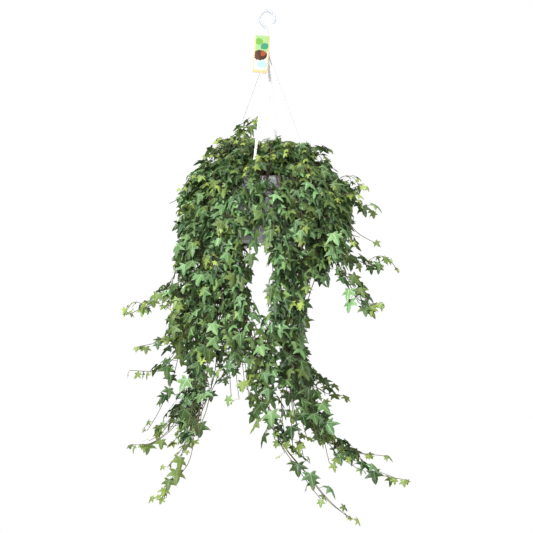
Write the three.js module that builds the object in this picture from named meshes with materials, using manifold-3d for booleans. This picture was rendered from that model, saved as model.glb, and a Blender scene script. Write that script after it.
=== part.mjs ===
// Potted English ivy in a hanging pot.
//
// Millimetres, +Z up. The origin is the point at the top inside the hook, where the pot hangs.
// -Y is the front. A white pot with a saucer at its foot hangs from a moulded hanger with four
// straps. Ivy shoots root in the potting mix: some stand up as a dome, others run over the rim
// and trail as a left and a right tail.

import * as THREE from 'three';
import { mergeVertices } from 'three/addons/utils/BufferGeometryUtils.js';
import Module from 'manifold-3d';

const wasm = await Module();
wasm.setup();

// Pot
const ROUND_SIDES = 28;
const FIT_GAP = 0.3;
const RIM_Z = -459;
const RIM_RADIUS = 135;
const RIM_DEPTH = 12;
const WALL = 2.4;
const WALL_TOP_RADIUS = 131;
const FOOT_RADIUS = 95;
const POT_BOTTOM_Z = -639.5;
const DRAIN_RADIUS = 6;
const DRAIN_RING_RADIUS = 58;
const DRAIN_COUNT = 4;

// Saucer
const SAUCER_BOTTOM_Z = -642;
const SAUCER_TOP_Z = -612;
const SAUCER_RADIUS = 105;
const SAUCER_FLOOR_RADIUS = 97.5;
const SAUCER_WALL = 2.2;
const SAUCER_LIP = 2.6;

// Potting mix
const SOIL_EDGE_Z = -476;
const SOIL_CROWN_Z = -471;
const SOIL_CROWN_RADIUS = 70;
const HOLE_SIDES = 4;
const HOLE_RADIUS = 4.2;
const ROOT_DEPTH = 18;

// Hanger
const HOOK_INNER_RADIUS = 17;
const HOOK_STRIP = 8;
const HOOK_THICK = 5.5;
const HOOK_START = -38;
const HOOK_END = 232;
const HOOK_STEP = 18;
const STEM_TOP_Z = -58;
const HUB_TOP_Z = -111;
const HUB_BOTTOM_Z = -130;
const HUB_RADIUS = 9;
const HUB_SIDES = 12;
const STRAP_WIDTH = 7;
const STRAP_THICK = 2.6;
const STRAP_AZIMUTHS = [-107, -17, 73, 163];
const CLIP_WIDTH = 12;
const CLIP_THICK = 3;
const CLIP_DROP = 15;

// Plant label
const LABEL_WIDTH = 42;
const LABEL_HEIGHT = 108;
const LABEL_THICK = 0.9;
const LABEL_CORNER = 4;
const LABEL_TOP_Z = -66;
const LABEL_CENTRE_X = -12;
const LABEL_LEAN = 14;
const LABEL_TILT = 4;
const LABEL_EYE_HEIGHT = 6;

// Ivy
const STEM_RADIUS = 2.4;
const STEM_TIP_RADIUS = 1.2;
const STEM_SIDES = 3;
const STEM_STEP = 110;
const BARE_START = 50;
const LEAF_LENGTH = 48;
const LEAF_THICK = 2.4;
const STALK_LENGTH = 27;
const STALK_RADIUS = 1.1;
const NODE_LENGTH = 2.6;
const TIP_CROWDING = 1.2;
const LEAF_CUP = 0.24;
const VEIN_CENTRE = 0.3;
const CLEARANCE = 0.7;
const LEAF_TRIES = 14;

// Edges of a blade one unit long: lobe tips and the notches between them, from the right of the
// stalk round to its left. x is across the blade and y runs from the stalk to the middle tip.
const FIVE_LOBES = [
  [0.44, -0.18], [0.34, 0.16], [0.62, 0.4], [0.24, 0.5],
  [0, 1],
  [-0.24, 0.5], [-0.62, 0.4], [-0.34, 0.16], [-0.44, -0.18],
];
const THREE_LOBES = [[0.5, 0.1], [0.22, 0.42], [0, 1], [-0.22, 0.42], [-0.5, 0.1]];

// Dome shoots: [azimuth at the root, root radius, height above the rim at the top, end radius,
// end height above the rim, number of leaves]
const DOME_SHOOTS = [
  [20, 26, 106, 84, 90, 6],
  [95, 30, 110, 80, 92, 6],
  [168, 26, 108, 88, 92, 6],
  [238, 30, 108, 80, 90, 6],
  [308, 26, 106, 88, 86, 6],
  [8, 62, 92, 158, 46, 7],
  [44, 66, 88, 154, 50, 7],
  [98, 62, 94, 158, 46, 7],
  [132, 66, 92, 156, 52, 7],
  [186, 62, 98, 160, 52, 7],
  [218, 66, 96, 158, 56, 7],
  [274, 62, 94, 156, 44, 7],
  [316, 66, 90, 156, 44, 7],
];

// One shoot stands up out of the dome and leans back over it.
const RISING_SHOOT = {
  root: [-50, 40],
  leaves: 8,
  first: 0.42,
  points: [[-92, 26, -408], [-96, 16, -372], [-74, 12, -336], [-46, 12, -306], [-22, 14, -287]],
};

// Shoots over the rim: [azimuth where they cross the rim, root radius, height over the rim,
// number of leaves, then the points that they pass on their way down]
const TRAILING_SHOOTS = [
  // front
  [-97, 104, 20, 5, [-20, -186, -560], [-12, -190, -610]],
  [-88, 90, 26, 6, [14, -192, -560], [26, -196, -640], [34, -186, -705]],
  [-78, 106, 18, 14, [46, -186, -600], [30, -170, -760], [8, -140, -920], [0, -110, -1080],
    [40, -90, -1190], [110, -80, -1280], [176, -72, -1360], [236, -66, -1404]],
  [-68, 92, 24, 5, [82, -176, -560], [96, -182, -630]],
  [-58, 106, 18, 11, [100, -160, -600], [82, -150, -760], [70, -130, -900], [66, -110, -1040],
    [84, -96, -1150], [100, -88, -1230]],
  [-48, 92, 26, 6, [130, -146, -570], [132, -150, -660], [104, -146, -765]],
  [-38, 106, 20, 8, [158, -126, -580], [180, -124, -680], [222, -116, -765], [268, -108, -808],
    [318, -100, -806]],
  [-28, 92, 24, 5, [186, -96, -550], [206, -98, -630]],
  // right
  [-6, 106, 22, 6, [206, -22, -540], [246, -30, -610], [296, -34, -641]],
  [4, 90, 30, 5, [210, 12, -500], [258, 14, -536], [296, 18, -556]],
  [14, 106, 20, 8, [196, 50, -580], [216, 44, -650], [262, 34, -695], [322, 22, -704]],
  [25, 92, 32, 5, [192, 80, -492], [232, 84, -490], [272, 84, -474]],
  [36, 106, 20, 10, [156, 112, -600], [102, 104, -760], [82, 90, -900], [104, 70, -1000], [160, 56, -1060],
    [222, 44, -1070]],
  [48, 92, 24, 6, [142, 146, -580], [134, 140, -680], [104, 128, -780]],
  [60, 106, 18, 13, [92, 150, -600], [66, 132, -780], [56, 104, -960], [104, 70, -1110], [176, 44, -1190],
    [256, 28, -1226], [332, 20, -1236]],
  // back
  [84, 104, 22, 6, [20, 190, -570], [34, 190, -660], [44, 176, -750]],
  [96, 90, 26, 5, [-20, 188, -550], [-26, 192, -610]],
  [107, 106, 18, 9, [-62, 176, -600], [-84, 160, -760], [-56, 136, -890], [-30, 112, -1010],
    [-12, 98, -1120]],
  [118, 92, 24, 6, [-96, 170, -570], [-112, 170, -670], [-130, 160, -760]],
  [129, 106, 20, 11, [-120, 146, -600], [-140, 136, -760], [-140, 116, -900], [-150, 100, -1020],
    [-190, 88, -1130], [-240, 80, -1220], [-280, 74, -1272]],
  [140, 92, 26, 5, [-152, 126, -560], [-172, 130, -640]],
  [151, 106, 18, 11, [-172, 92, -600], [-190, 86, -760], [-200, 76, -900], [-222, 66, -1060],
    [-270, 56, -1160], [-330, 50, -1204], [-384, 44, -1206]],
  // left
  [175, 92, 30, 5, [-212, 14, -500], [-246, 10, -520], [-272, 8, -532]],
  [-175, 106, 20, 8, [-214, -20, -590], [-246, -26, -690], [-282, -34, -790], [-374, -40, -836]],
  [-165, 90, 26, 6, [-206, -58, -560], [-238, -64, -650], [-256, -66, -720]],
  [-155, 106, 20, 9, [-188, -92, -600], [-222, -96, -760], [-256, -96, -880], [-306, -96, -916],
    [-358, -92, -928]],
  [-145, 92, 24, 5, [-164, -124, -560], [-184, -132, -640]],
  [-135, 106, 20, 13, [-146, -142, -600], [-168, -140, -780], [-186, -124, -960], [-208, -96, -1110],
    [-240, -84, -1240], [-272, -78, -1310], [-300, -76, -1346]],
  [-126, 92, 24, 6, [-116, -166, -570], [-122, -172, -670], [-112, -166, -760]],
  [-117, 106, 18, 9, [-84, -176, -600], [-84, -176, -760], [-80, -160, -880], [-66, -140, -980],
    [-60, -128, -1040]],
];

// Long tails that hang inside the curtain, in the same form
const INNER_TAILS = [
  [-22, 70, 34, 10, [166, -62, -600], [102, -80, -780], [84, -80, -940], [116, -70, -1060],
    [150, -62, -1160], [172, -58, -1250]],
  [-11, 78, 36, 12, [168, -20, -620], [96, -20, -800], [84, -8, -960], [140, 0, -1110], [222, 4, -1218],
    [310, 4, -1284], [390, 4, -1302]],
  [-170, 76, 36, 10, [-206, -34, -640], [-212, -40, -800], [-236, -50, -930], [-300, -56, -992],
    [-380, -56, -994]],
  [158, 76, 34, 10, [-180, 48, -620], [-176, 40, -800], [-176, 30, -960], [-206, 26, -1080],
    [-250, 24, -1150], [-302, 24, -1150]],
];

function radians(degrees) {
  return degrees * Math.PI / 180;
}

function polar(azimuth, radius, z) {
  return new THREE.Vector3(radius * Math.cos(radians(azimuth)), radius * Math.sin(radians(azimuth)), z);
}

// Repeatable draws between 0 and 1
function seededDraws(seed) {
  let state = seed * 2654435761 % 4294967296;
  return () => {
    state = (state * 1664525 + 1013904223) % 4294967296;
    return state / 4294967296;
  };
}

// Closed geometry to solid, and back to a named mesh
function solidOf(geometry) {
  const bare = geometry.clone();
  bare.deleteAttribute('normal');
  bare.deleteAttribute('uv');
  const merged = mergeVertices(bare, 1e-4);
  const faces = [];
  const index = merged.index.array;
  for (let i = 0; i < index.length; i += 3) {
    const [a, b, c] = [index[i], index[i + 1], index[i + 2]];
    if (a !== b && b !== c && c !== a) {
      faces.push(a, b, c);
    }
  }
  return new wasm.Manifold(new wasm.Mesh({
    numProp: 3,
    vertProperties: new Float32Array(merged.attributes.position.array),
    triVerts: new Uint32Array(faces),
  }));
}

function meshOf(name, solid, material) {
  const data = solid.getMesh();
  const geometry = new THREE.BufferGeometry();
  geometry.setAttribute('position', new THREE.BufferAttribute(new Float32Array(data.vertProperties), 3));
  geometry.setIndex(new THREE.BufferAttribute(new Uint32Array(data.triVerts), 1));
  geometry.computeVertexNormals();
  const mesh = new THREE.Mesh(geometry, material);
  mesh.name = name;
  return mesh;
}

// Solid turned from a profile of [radius, z] pairs
function turned(profile) {
  const points = profile.map(([radius, z]) => new THREE.Vector2(radius, z));
  const geometry = new THREE.LatheGeometry(points, ROUND_SIDES);
  geometry.rotateX(Math.PI / 2);
  return solidOf(geometry);
}

// Upright cylinder from z0 to z1
function upright(x, y, z0, z1, radius, sides) {
  const geometry = new THREE.CylinderGeometry(radius, radius, z1 - z0, sides);
  geometry.rotateX(Math.PI / 2);
  geometry.translate(x, y, (z0 + z1) / 2);
  return solidOf(geometry);
}

// Box given by its limits across x, y and z, turned about the pot's axis
function box(x0, x1, y0, y1, z0, z1, azimuth = 0) {
  const geometry = new THREE.BoxGeometry(x1 - x0, y1 - y0, z1 - z0);
  geometry.translate((x0 + x1) / 2, (y0 + y1) / 2, (z0 + z1) / 2);
  geometry.rotateZ(radians(azimuth));
  return solidOf(geometry);
}

function wallRadius(z) {
  const share = (z - POT_BOTTOM_Z) / (RIM_Z - POT_BOTTOM_Z);
  return FOOT_RADIUS + (WALL_TOP_RADIUS - FOOT_RADIUS) * share;
}

function makePot() {
  const floorZ = POT_BOTTOM_Z + WALL;
  let solid = turned([
    [0, POT_BOTTOM_Z],
    [FOOT_RADIUS - 2, POT_BOTTOM_Z],
    [wallRadius(POT_BOTTOM_Z + 3), POT_BOTTOM_Z + 3],
    [wallRadius(RIM_Z - RIM_DEPTH), RIM_Z - RIM_DEPTH],
    [RIM_RADIUS - 1, RIM_Z - RIM_DEPTH],
    [RIM_RADIUS, RIM_Z - 2],
    [RIM_RADIUS - 2, RIM_Z],
    [WALL_TOP_RADIUS - WALL, RIM_Z],
    [wallRadius(floorZ) - WALL, floorZ],
    [0, floorZ],
  ]);
  for (let i = 0; i < DRAIN_COUNT; i += 1) {
    const at = polar(360 / DRAIN_COUNT * i, DRAIN_RING_RADIUS, 0);
    solid = solid.subtract(upright(at.x, at.y, POT_BOTTOM_Z - 1, floorZ + 1, DRAIN_RADIUS, 8));
  }
  return solid;
}

function makeSaucer() {
  const floorZ = POT_BOTTOM_Z - FIT_GAP;
  const lipZ = SAUCER_TOP_Z - 2;
  return turned([
    [0, SAUCER_BOTTOM_Z],
    [SAUCER_FLOOR_RADIUS, SAUCER_BOTTOM_Z],
    [SAUCER_RADIUS - 2, SAUCER_BOTTOM_Z + 8],
    [SAUCER_RADIUS, SAUCER_TOP_Z],
    [SAUCER_RADIUS - SAUCER_LIP, SAUCER_TOP_Z],
    [wallRadius(lipZ) + 2 * FIT_GAP, lipZ],
    [SAUCER_RADIUS - SAUCER_WALL - 0.6, lipZ - 2],
    [SAUCER_RADIUS - SAUCER_WALL - 2, SAUCER_BOTTOM_Z + 9],
    [SAUCER_FLOOR_RADIUS, floorZ],
    [0, floorZ],
  ]);
}

function makeSoil(roots) {
  const bottomZ = POT_BOTTOM_Z + WALL + FIT_GAP;
  const inset = WALL + 2 * FIT_GAP;
  let solid = turned([
    [0, bottomZ],
    [wallRadius(bottomZ) - inset, bottomZ],
    [wallRadius(SOIL_EDGE_Z) - inset, SOIL_EDGE_Z],
    [SOIL_CROWN_RADIUS, SOIL_CROWN_Z],
    [0, SOIL_CROWN_Z],
  ]);
  const holes = roots.map((at) => upright(at.x, at.y, at.z - FIT_GAP, RIM_Z, HOLE_RADIUS, HOLE_SIDES));
  for (const hole of holes) {
    solid = solid.subtract(hole);
  }
  return solid;
}

// Flat strip of even width along points of the XZ plane
function flatStrip(centreline) {
  const left = [];
  const right = [];
  centreline.forEach((point, i) => {
    const before = centreline[Math.max(i - 1, 0)];
    const after = centreline[Math.min(i + 1, centreline.length - 1)];
    const along = after.clone().sub(before).normalize();
    const across = new THREE.Vector2(-along.y, along.x).multiplyScalar(HOOK_STRIP / 2);
    left.push(point.clone().add(across));
    right.unshift(point.clone().sub(across));
  });
  const shape = new THREE.Shape([...left, ...right]);
  const geometry = new THREE.ExtrudeGeometry(shape, { depth: HOOK_THICK, bevelEnabled: false });
  geometry.rotateX(Math.PI / 2);
  geometry.translate(0, HOOK_THICK / 2, 0);
  return solidOf(geometry);
}

function makeStrap(azimuth) {
  const top = new THREE.Vector3(5, 0, HUB_BOTTOM_Z + 7);
  const foot = new THREE.Vector3(RIM_RADIUS - 1.5, 0, RIM_Z + 3.5);
  const run = foot.clone().sub(top);
  const geometry = new THREE.BoxGeometry(STRAP_THICK, STRAP_WIDTH, run.length());
  geometry.rotateY(Math.atan2(run.x, run.z));
  geometry.translate((top.x + foot.x) / 2, 0, (top.z + foot.z) / 2);
  geometry.rotateZ(radians(azimuth));
  const flat = Math.cos(Math.PI / ROUND_SIDES);
  const inside = (wallRadius(RIM_Z - CLIP_DROP / 2) - WALL) * flat - 2 * FIT_GAP;
  const outside = RIM_RADIUS + FIT_GAP;
  const half = CLIP_WIDTH / 2;
  const bridgeZ = RIM_Z + 0.4;
  return wasm.Manifold.union([
    solidOf(geometry),
    box(inside - CLIP_THICK, outside + CLIP_THICK, -half, half, bridgeZ, bridgeZ + CLIP_THICK, azimuth),
    box(outside, outside + CLIP_THICK, -half, half, RIM_Z - CLIP_DROP, bridgeZ + 1, azimuth),
    box(inside - CLIP_THICK, inside, -half, half, RIM_Z - CLIP_DROP / 2, bridgeZ + 1, azimuth),
  ]);
}

function makeHanger() {
  const radius = HOOK_INNER_RADIUS + HOOK_STRIP / 2;
  const centreline = [];
  for (let angle = HOOK_START; angle <= HOOK_END; angle += HOOK_STEP) {
    const turn = radians(angle);
    centreline.push(new THREE.Vector2(radius * Math.cos(turn), radius * Math.sin(turn) - HOOK_INNER_RADIUS));
  }
  centreline.push(new THREE.Vector2(-5, -43));
  centreline.push(new THREE.Vector2(-1, -50));
  centreline.push(new THREE.Vector2(0, STEM_TOP_Z));
  centreline.push(new THREE.Vector2(0, HUB_TOP_Z - 6));
  const hub = upright(0, 0, HUB_BOTTOM_Z, HUB_TOP_Z, HUB_RADIUS, HUB_SIDES);
  return wasm.Manifold.union([flatStrip(centreline), hub, ...STRAP_AZIMUTHS.map(makeStrap)]);
}

// Card that leans on the front strap, with an eye round the stem behind its top edge
function makeLabel() {
  const [w, h, c] = [LABEL_WIDTH / 2, LABEL_HEIGHT, LABEL_CORNER];
  const shape = new THREE.Shape();
  shape.moveTo(-w + c, 0);
  shape.lineTo(w - c, 0);
  shape.lineTo(w, -c);
  shape.lineTo(w, -h + c);
  shape.lineTo(w - c, -h);
  shape.lineTo(-w + c, -h);
  shape.lineTo(-w, -h + c);
  shape.lineTo(-w, -c);
  const card = new THREE.ExtrudeGeometry(shape, { depth: LABEL_THICK, bevelEnabled: false });
  card.rotateX(Math.PI / 2);
  card.rotateY(radians(LABEL_TILT));
  card.rotateX(radians(-LABEL_LEAN));
  const frontY = -HOOK_THICK / 2 - FIT_GAP;
  card.translate(LABEL_CENTRE_X, frontY, LABEL_TOP_Z);
  const inner = HOOK_STRIP / 2 + FIT_GAP;
  const outer = inner + LABEL_THICK;
  const backY = HOOK_THICK / 2 + FIT_GAP;
  const topZ = LABEL_TOP_Z - 2;
  const bottomZ = topZ - LABEL_EYE_HEIGHT;
  return wasm.Manifold.union([
    solidOf(card),
    box(-outer, outer, backY, backY + LABEL_THICK, bottomZ, topZ),
    box(-outer, -inner, frontY - 2.2, backY + LABEL_THICK, bottomZ, topZ),
    box(inner, outer, frontY - 2.2, backY + LABEL_THICK, bottomZ, topZ),
  ]);
}

// Stations of a shoot: straight up out of its hole, then along a smooth curve
function routeOf(root, points) {
  const above = new THREE.Vector3(root.x, root.y, SOIL_CROWN_Z + 3);
  const passed = [above, ...points];
  const curve = new THREE.CatmullRomCurve3(passed, false, 'centripetal');
  const stations = [root, above];
  for (let i = 1; i < passed.length; i += 1) {
    const steps = Math.max(1, Math.round(passed[i].distanceTo(passed[i - 1]) / STEM_STEP));
    for (let step = 1; step <= steps; step += 1) {
      stations.push(curve.getPoint((i - 1 + step / steps) / (passed.length - 1)));
    }
  }
  const reach = [0];
  for (let i = 1; i < stations.length; i += 1) {
    reach.push(reach[i - 1] + stations[i].distanceTo(stations[i - 1]));
  }
  return { stations, reach, total: reach[reach.length - 1] };
}

// Point at a distance along the stations, with the direction there
function pointAlong(route, distance) {
  const { stations, reach } = route;
  let i = 1;
  while (i < stations.length - 1 && reach[i] < distance) {
    i += 1;
  }
  const share = (distance - reach[i - 1]) / (reach[i] - reach[i - 1]);
  const point = stations[i - 1].clone().lerp(stations[i], share);
  return { point, along: stations[i].clone().sub(stations[i - 1]).normalize() };
}

// Distances of the stem's sections: its stations, and a close pair where each leaf grows
function sectionsOf(route, leaves) {
  const nodes = leaves.map((leaf) => leaf.distance);
  const sections = route.reach
    .filter((distance, i) => {
      const fixed = i <= 1 || i === route.reach.length - 1;
      return fixed || nodes.every((node) => Math.abs(node - distance) > 3 * NODE_LENGTH);
    })
    .map((distance) => ({ distance, leaf: null }));
  leaves.forEach((leaf) => {
    sections.push({ distance: leaf.distance - NODE_LENGTH / 2, leaf });
    sections.push({ distance: leaf.distance + NODE_LENGTH / 2, leaf: null });
  });
  return sections.sort((a, b) => a.distance - b.distance);
}

// Corners of the stem's sections, tapering from the root to the tip
function stemCorners(route, sections, margin) {
  const corners = [];
  let side = new THREE.Vector3(1, 0, 0);
  sections.forEach((section) => {
    const { point, along } = pointAlong(route, section.distance);
    const after = pointAlong(route, Math.min(section.distance + NODE_LENGTH, route.total)).along;
    along.add(after).normalize();
    side = side.clone().addScaledVector(along, -side.dot(along)).normalize();
    const other = along.clone().cross(side);
    const share = section.distance / route.total;
    const radius = THREE.MathUtils.lerp(STEM_RADIUS, STEM_TIP_RADIUS, share) + margin;
    for (let k = 0; k < STEM_SIDES; k += 1) {
      const turn = 2 * Math.PI * k / STEM_SIDES;
      const corner = point.clone().addScaledVector(side, radius * Math.cos(turn));
      corners.push(corner.addScaledVector(other, radius * Math.sin(turn)));
    }
  });
  return corners;
}

// Side of the stem that faces a leaf's stalk best, at the section that starts at corner first
function facingSide(corners, first, stalk) {
  let best = 0;
  let most = -Infinity;
  for (let k = 0; k < STEM_SIDES; k += 1) {
    const a = corners[first + k];
    const b = corners[first + (k + 1) % STEM_SIDES];
    const c = corners[first + STEM_SIDES + (k + 1) % STEM_SIDES];
    const outward = b.clone().sub(a).cross(c.clone().sub(a)).normalize();
    if (outward.dot(stalk) > most) {
      most = outward.dot(stalk);
      best = k;
    }
  }
  return best;
}

// The stem's skin. Where a leaf grows, its stalk takes the place of one facet.
function stemWithLeaves(route, leaves, margin) {
  const sections = sectionsOf(route, leaves);
  const vertices = stemCorners(route, sections, margin);
  const faces = [];
  const last = sections.length - 1;
  for (let i = 0; i < last; i += 1) {
    const first = i * STEM_SIDES;
    const leaf = sections[i].leaf;
    const open = leaf ? facingSide(vertices, first, leaf.stalk) : -1;
    for (let k = 0; k < STEM_SIDES; k += 1) {
      const a = first + k;
      const b = first + (k + 1) % STEM_SIDES;
      faces.push(a, b + STEM_SIDES, a + STEM_SIDES);
      if (k === open) {
        growLeaf(vertices, faces, leaf, 0, [a, b, b + STEM_SIDES]);
      } else {
        faces.push(a, b, b + STEM_SIDES);
      }
    }
  }
  const end = last * STEM_SIDES;
  for (let k = 1; k < STEM_SIDES - 1; k += 1) {
    faces.push(0, k + 1, k, end, end + k, end + k + 1);
  }
  return faceted(vertices, faces);
}

function faceted(vertices, faces) {
  const geometry = new THREE.BufferGeometry();
  geometry.setFromPoints(vertices);
  geometry.setIndex(faces);
  return solidOf(geometry);
}

// Turn of a triangle's corners that lines up best with another triangle
function matched(vertices, ring, target) {
  const centre = (list) => list.reduce((sum, i) => sum.add(vertices[i]), new THREE.Vector3()).divideScalar(3);
  const shift = centre(target).sub(centre(ring));
  const turns = [0, 1, 2].map((turn) => [0, 1, 2].map((i) => ring[(i + turn) % 3]));
  const misfit = (order) => order.reduce((sum, corner, i) => (
    sum + vertices[corner].clone().add(shift).distanceToSquared(vertices[target[i]])
  ), 0);
  return turns.reduce((best, order) => (misfit(order) < misfit(best) ? order : best));
}

// Lobed blade with its three-sided stalk, grown on a ring of three corners. The blade is thickest
// where the veins meet and thins out to its edge, and both faces are split alike.
function growLeaf(vertices, faces, leaf, margin, ring) {
  const { start, stalk, axis, face, length, outline } = leaf;
  const across = axis.clone().cross(face);
  const base = start.clone().addScaledVector(stalk, leaf.stalkLength);
  const grow = 1 + 2 * margin / length;
  const thin = STALK_RADIUS + margin;
  const place = (x, y, height) => {
    const fromMiddle = y - VEIN_CENTRE;
    const drop = LEAF_CUP * length * (x * x + fromMiddle * fromMiddle);
    const point = base.clone().addScaledVector(across, x * length * grow);
    point.addScaledVector(axis, y * length * grow);
    vertices.push(point.addScaledVector(face, height - drop));
    return vertices.length - 1;
  };
  const onStalk = (side, height) => {
    const corner = base.clone().addScaledVector(across, side * thin);
    const drop = LEAF_CUP * length * VEIN_CENTRE * VEIN_CENTRE;
    vertices.push(corner.addScaledVector(face, height * thin - drop));
    return vertices.length - 1;
  };
  const left = onStalk(-0.9, 0.6);
  const right = onStalk(0.9, 0.6);
  const under = onStalk(0, -0.9);
  const top = place(0, VEIN_CENTRE, LEAF_THICK / 2 + margin);
  const bottom = place(0, VEIN_CENTRE, -LEAF_THICK / 2 - margin);
  const edge = outline.map(([x, y]) => place(x, y, 0));
  const around = [right, ...edge, left];
  for (let i = 0; i < around.length - 1; i += 1) {
    faces.push(top, around[i], around[i + 1]);
  }
  for (let i = 0; i < edge.length - 1; i += 1) {
    faces.push(bottom, edge[i + 1], edge[i]);
  }
  const [first, final] = [edge[0], edge[edge.length - 1]];
  faces.push(top, left, right);
  faces.push(bottom, first, under, bottom, under, final);
  faces.push(right, under, first, left, final, under);
  const target = [left, right, under];
  const ends = matched(vertices, ring, target);
  for (let i = 0; i < 3; i += 1) {
    const next = (i + 1) % 3;
    faces.push(ends[i], ends[next], target[next], ends[i], target[next], target[i]);
  }
}

// The leaf alone, from a share of its stalk onwards, with a margin round it
function looseLeaf(leaf, margin, share) {
  const { stalk, axis, face } = leaf;
  const across = axis.clone().cross(face);
  const from = leaf.start.clone().addScaledVector(stalk, leaf.stalkLength * share);
  const size = STALK_RADIUS + margin;
  const vertices = [[-0.9, 0.6], [0.9, 0.6], [0, -0.9]].map(([side, height]) => (
    from.clone().addScaledVector(across, side * size).addScaledVector(face, height * size)
  ));
  const faces = [1, 0, 2];
  growLeaf(vertices, faces, leaf, margin, [0, 1, 2]);
  return faceted(vertices, faces);
}

// One leaf: its stalk leaves the stem to alternate sides, level with it, and the blade hangs from
// the stalk's end, nearly flat on top of the dome and steeper further down.
function leafAt(shoot, order, draw, size) {
  const { route, leaves, first } = shoot;
  const step = (order + 0.9) / leaves;
  const share = first + (1 - first) * (1 - (1 - step) ** TIP_CROWDING);
  const distance = Math.min(share * route.total, route.total - NODE_LENGTH);
  const { point: start, along } = pointAlong(route, distance);
  const outward = Math.atan2(start.y, start.x);
  const side = order % 2 === 0 ? 1 : -1;
  const turn = outward + side * radians(20 + 50 * draw()) + radians(24 * (draw() - 0.5));
  const up = new THREE.Vector3(0, 0, 1);
  const level = new THREE.Vector3(Math.cos(turn), Math.sin(turn), 0);
  const drop = THREE.MathUtils.clamp((RIM_Z + 90 - start.z) / 200, 0, 1);
  const hang = THREE.MathUtils.lerp(0.36, 0.68, drop) + 0.16 * (draw() - 0.5);
  const stalk = level.clone().addScaledVector(up, 0.25 - 0.5 * hang);
  stalk.addScaledVector(along, -0.75 * stalk.dot(along)).normalize();
  const axis = level.clone().multiplyScalar(1 - hang).addScaledVector(up, -hang).normalize();
  axis.addScaledVector(stalk, Math.max(0, 0.35 - axis.dot(stalk))).normalize();
  const face = level.clone().addScaledVector(up, 0.6);
  face.addScaledVector(axis, -face.dot(axis)).normalize();
  face.applyAxisAngle(axis, radians(50 * (draw() - 0.5)));
  const young = THREE.MathUtils.smoothstep(share, 0.72, 1);
  const scale = (1 - 0.5 * young) * (0.84 + 0.28 * draw()) * size;
  const outline = young > 0.55 ? THREE_LOBES : FIVE_LOBES;
  const length = LEAF_LENGTH * scale;
  const stalkLength = STALK_LENGTH * scale * (0.75 + 0.5 * draw());
  return { distance, start, stalk, axis, face, length, stalkLength, outline };
}

function boxesMeet(a, b) {
  return [0, 1, 2].every((i) => a.min[i] <= b.max[i] && b.min[i] <= a.max[i]);
}

function isClear(solid, others) {
  const bounds = solid.boundingBox();
  return others.every((other) => !boxesMeet(bounds, other.bounds) || solid.intersect(other.solid).isEmpty());
}

function domeShoot(row) {
  const [azimuth, rootRadius, top, endRadius, end, leaves] = row;
  const root = polar(azimuth, rootRadius, SOIL_CROWN_Z - ROOT_DEPTH);
  const points = [
    polar(azimuth, rootRadius + 0.25 * (endRadius - rootRadius), RIM_Z + 0.66 * top),
    polar(azimuth, rootRadius + 0.55 * (endRadius - rootRadius), RIM_Z + top),
    polar(azimuth, endRadius, RIM_Z + end),
  ];
  return { route: routeOf(root, points), leaves, first: 0.34 };
}

function trailingShoot(row) {
  const [azimuth, rootRadius, over, leaves, ...way] = row;
  const root = polar(azimuth, rootRadius, SOIL_CROWN_Z - ROOT_DEPTH);
  const crest = RIM_RADIUS + 13;
  const points = [
    polar(azimuth, (rootRadius + crest) / 2, RIM_Z + 0.92 * over),
    polar(azimuth, crest, RIM_Z + over),
    polar(azimuth, crest + 27, RIM_Z - 30 + over),
    ...way.map((point) => new THREE.Vector3(...point)),
  ];
  const route = routeOf(root, points);
  return { route, leaves, first: BARE_START / route.total };
}

function risingShoot() {
  const [x, y] = RISING_SHOOT.root;
  const root = new THREE.Vector3(x, y, SOIL_CROWN_Z - ROOT_DEPTH);
  const points = RISING_SHOOT.points.map((point) => new THREE.Vector3(...point));
  return { route: routeOf(root, points), leaves: RISING_SHOOT.leaves, first: RISING_SHOOT.first };
}

const shoots = [
  ...DOME_SHOOTS.map(domeShoot),
  risingShoot(),
  ...TRAILING_SHOOTS.map(trailingShoot),
  ...INNER_TAILS.map(trailingShoot),
];

const whitePlastic = new THREE.MeshStandardMaterial({ color: 0xf1f1ee, roughness: 0.42, metalness: 0 });
const labelPlastic = new THREE.MeshStandardMaterial({ color: 0x6f8f4a, roughness: 0.4, metalness: 0 });
const pottingMix = new THREE.MeshStandardMaterial({ color: 0x3a2a1e, roughness: 0.95, metalness: 0 });
const ivyGreen = new THREE.MeshStandardMaterial({ color: 0x3f6b34, roughness: 0.5, metalness: 0 });

const potSolid = makePot();
const saucerSolid = makeSaucer();
const soilSolid = makeSoil(shoots.map((shoot) => shoot.route.stations[0]));
const hangerSolid = makeHanger();
const labelSolid = makeLabel();

const obstacles = [potSolid, saucerSolid, soilSolid, hangerSolid, labelSolid].map((solid) => (
  { solid, bounds: solid.boundingBox() }
));
shoots.forEach((shoot) => {
  const solid = stemWithLeaves(shoot.route, [], CLEARANCE);
  shoot.grown = [];
  shoot.stem = { solid, bounds: solid.boundingBox() };
  obstacles.push(shoot.stem);
});

// Leaves grow shoot by shoot, and one that would touch another piece is bent clear or made smaller.
shoots.forEach((shoot, number) => {
  const draw = seededDraws(number + 11);
  const others = obstacles.filter((other) => other !== shoot.stem);
  for (let order = 0; order < shoot.leaves; order += 1) {
    for (let attempt = 0; attempt < LEAF_TRIES; attempt += 1) {
      const leaf = leafAt(shoot, order, draw, 1 - 0.03 * Math.max(attempt - 5, 0));
      const solid = looseLeaf(leaf, CLEARANCE, 0);
      const blade = looseLeaf(leaf, CLEARANCE, 0.4);
      if (isClear(solid, others) && isClear(blade, [shoot.stem])) {
        shoot.grown.push(leaf);
        others.push({ solid, bounds: solid.boundingBox() });
        obstacles.push(others[others.length - 1]);
        break;
      }
    }
  }
});

const ivy = new THREE.Group();
ivy.name = 'ivy';
shoots.forEach((shoot, number) => {
  const name = `shoot_${String(number + 1).padStart(2, '0')}`;
  ivy.add(meshOf(name, stemWithLeaves(shoot.route, shoot.grown, 0), ivyGreen.clone()));
});

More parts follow.
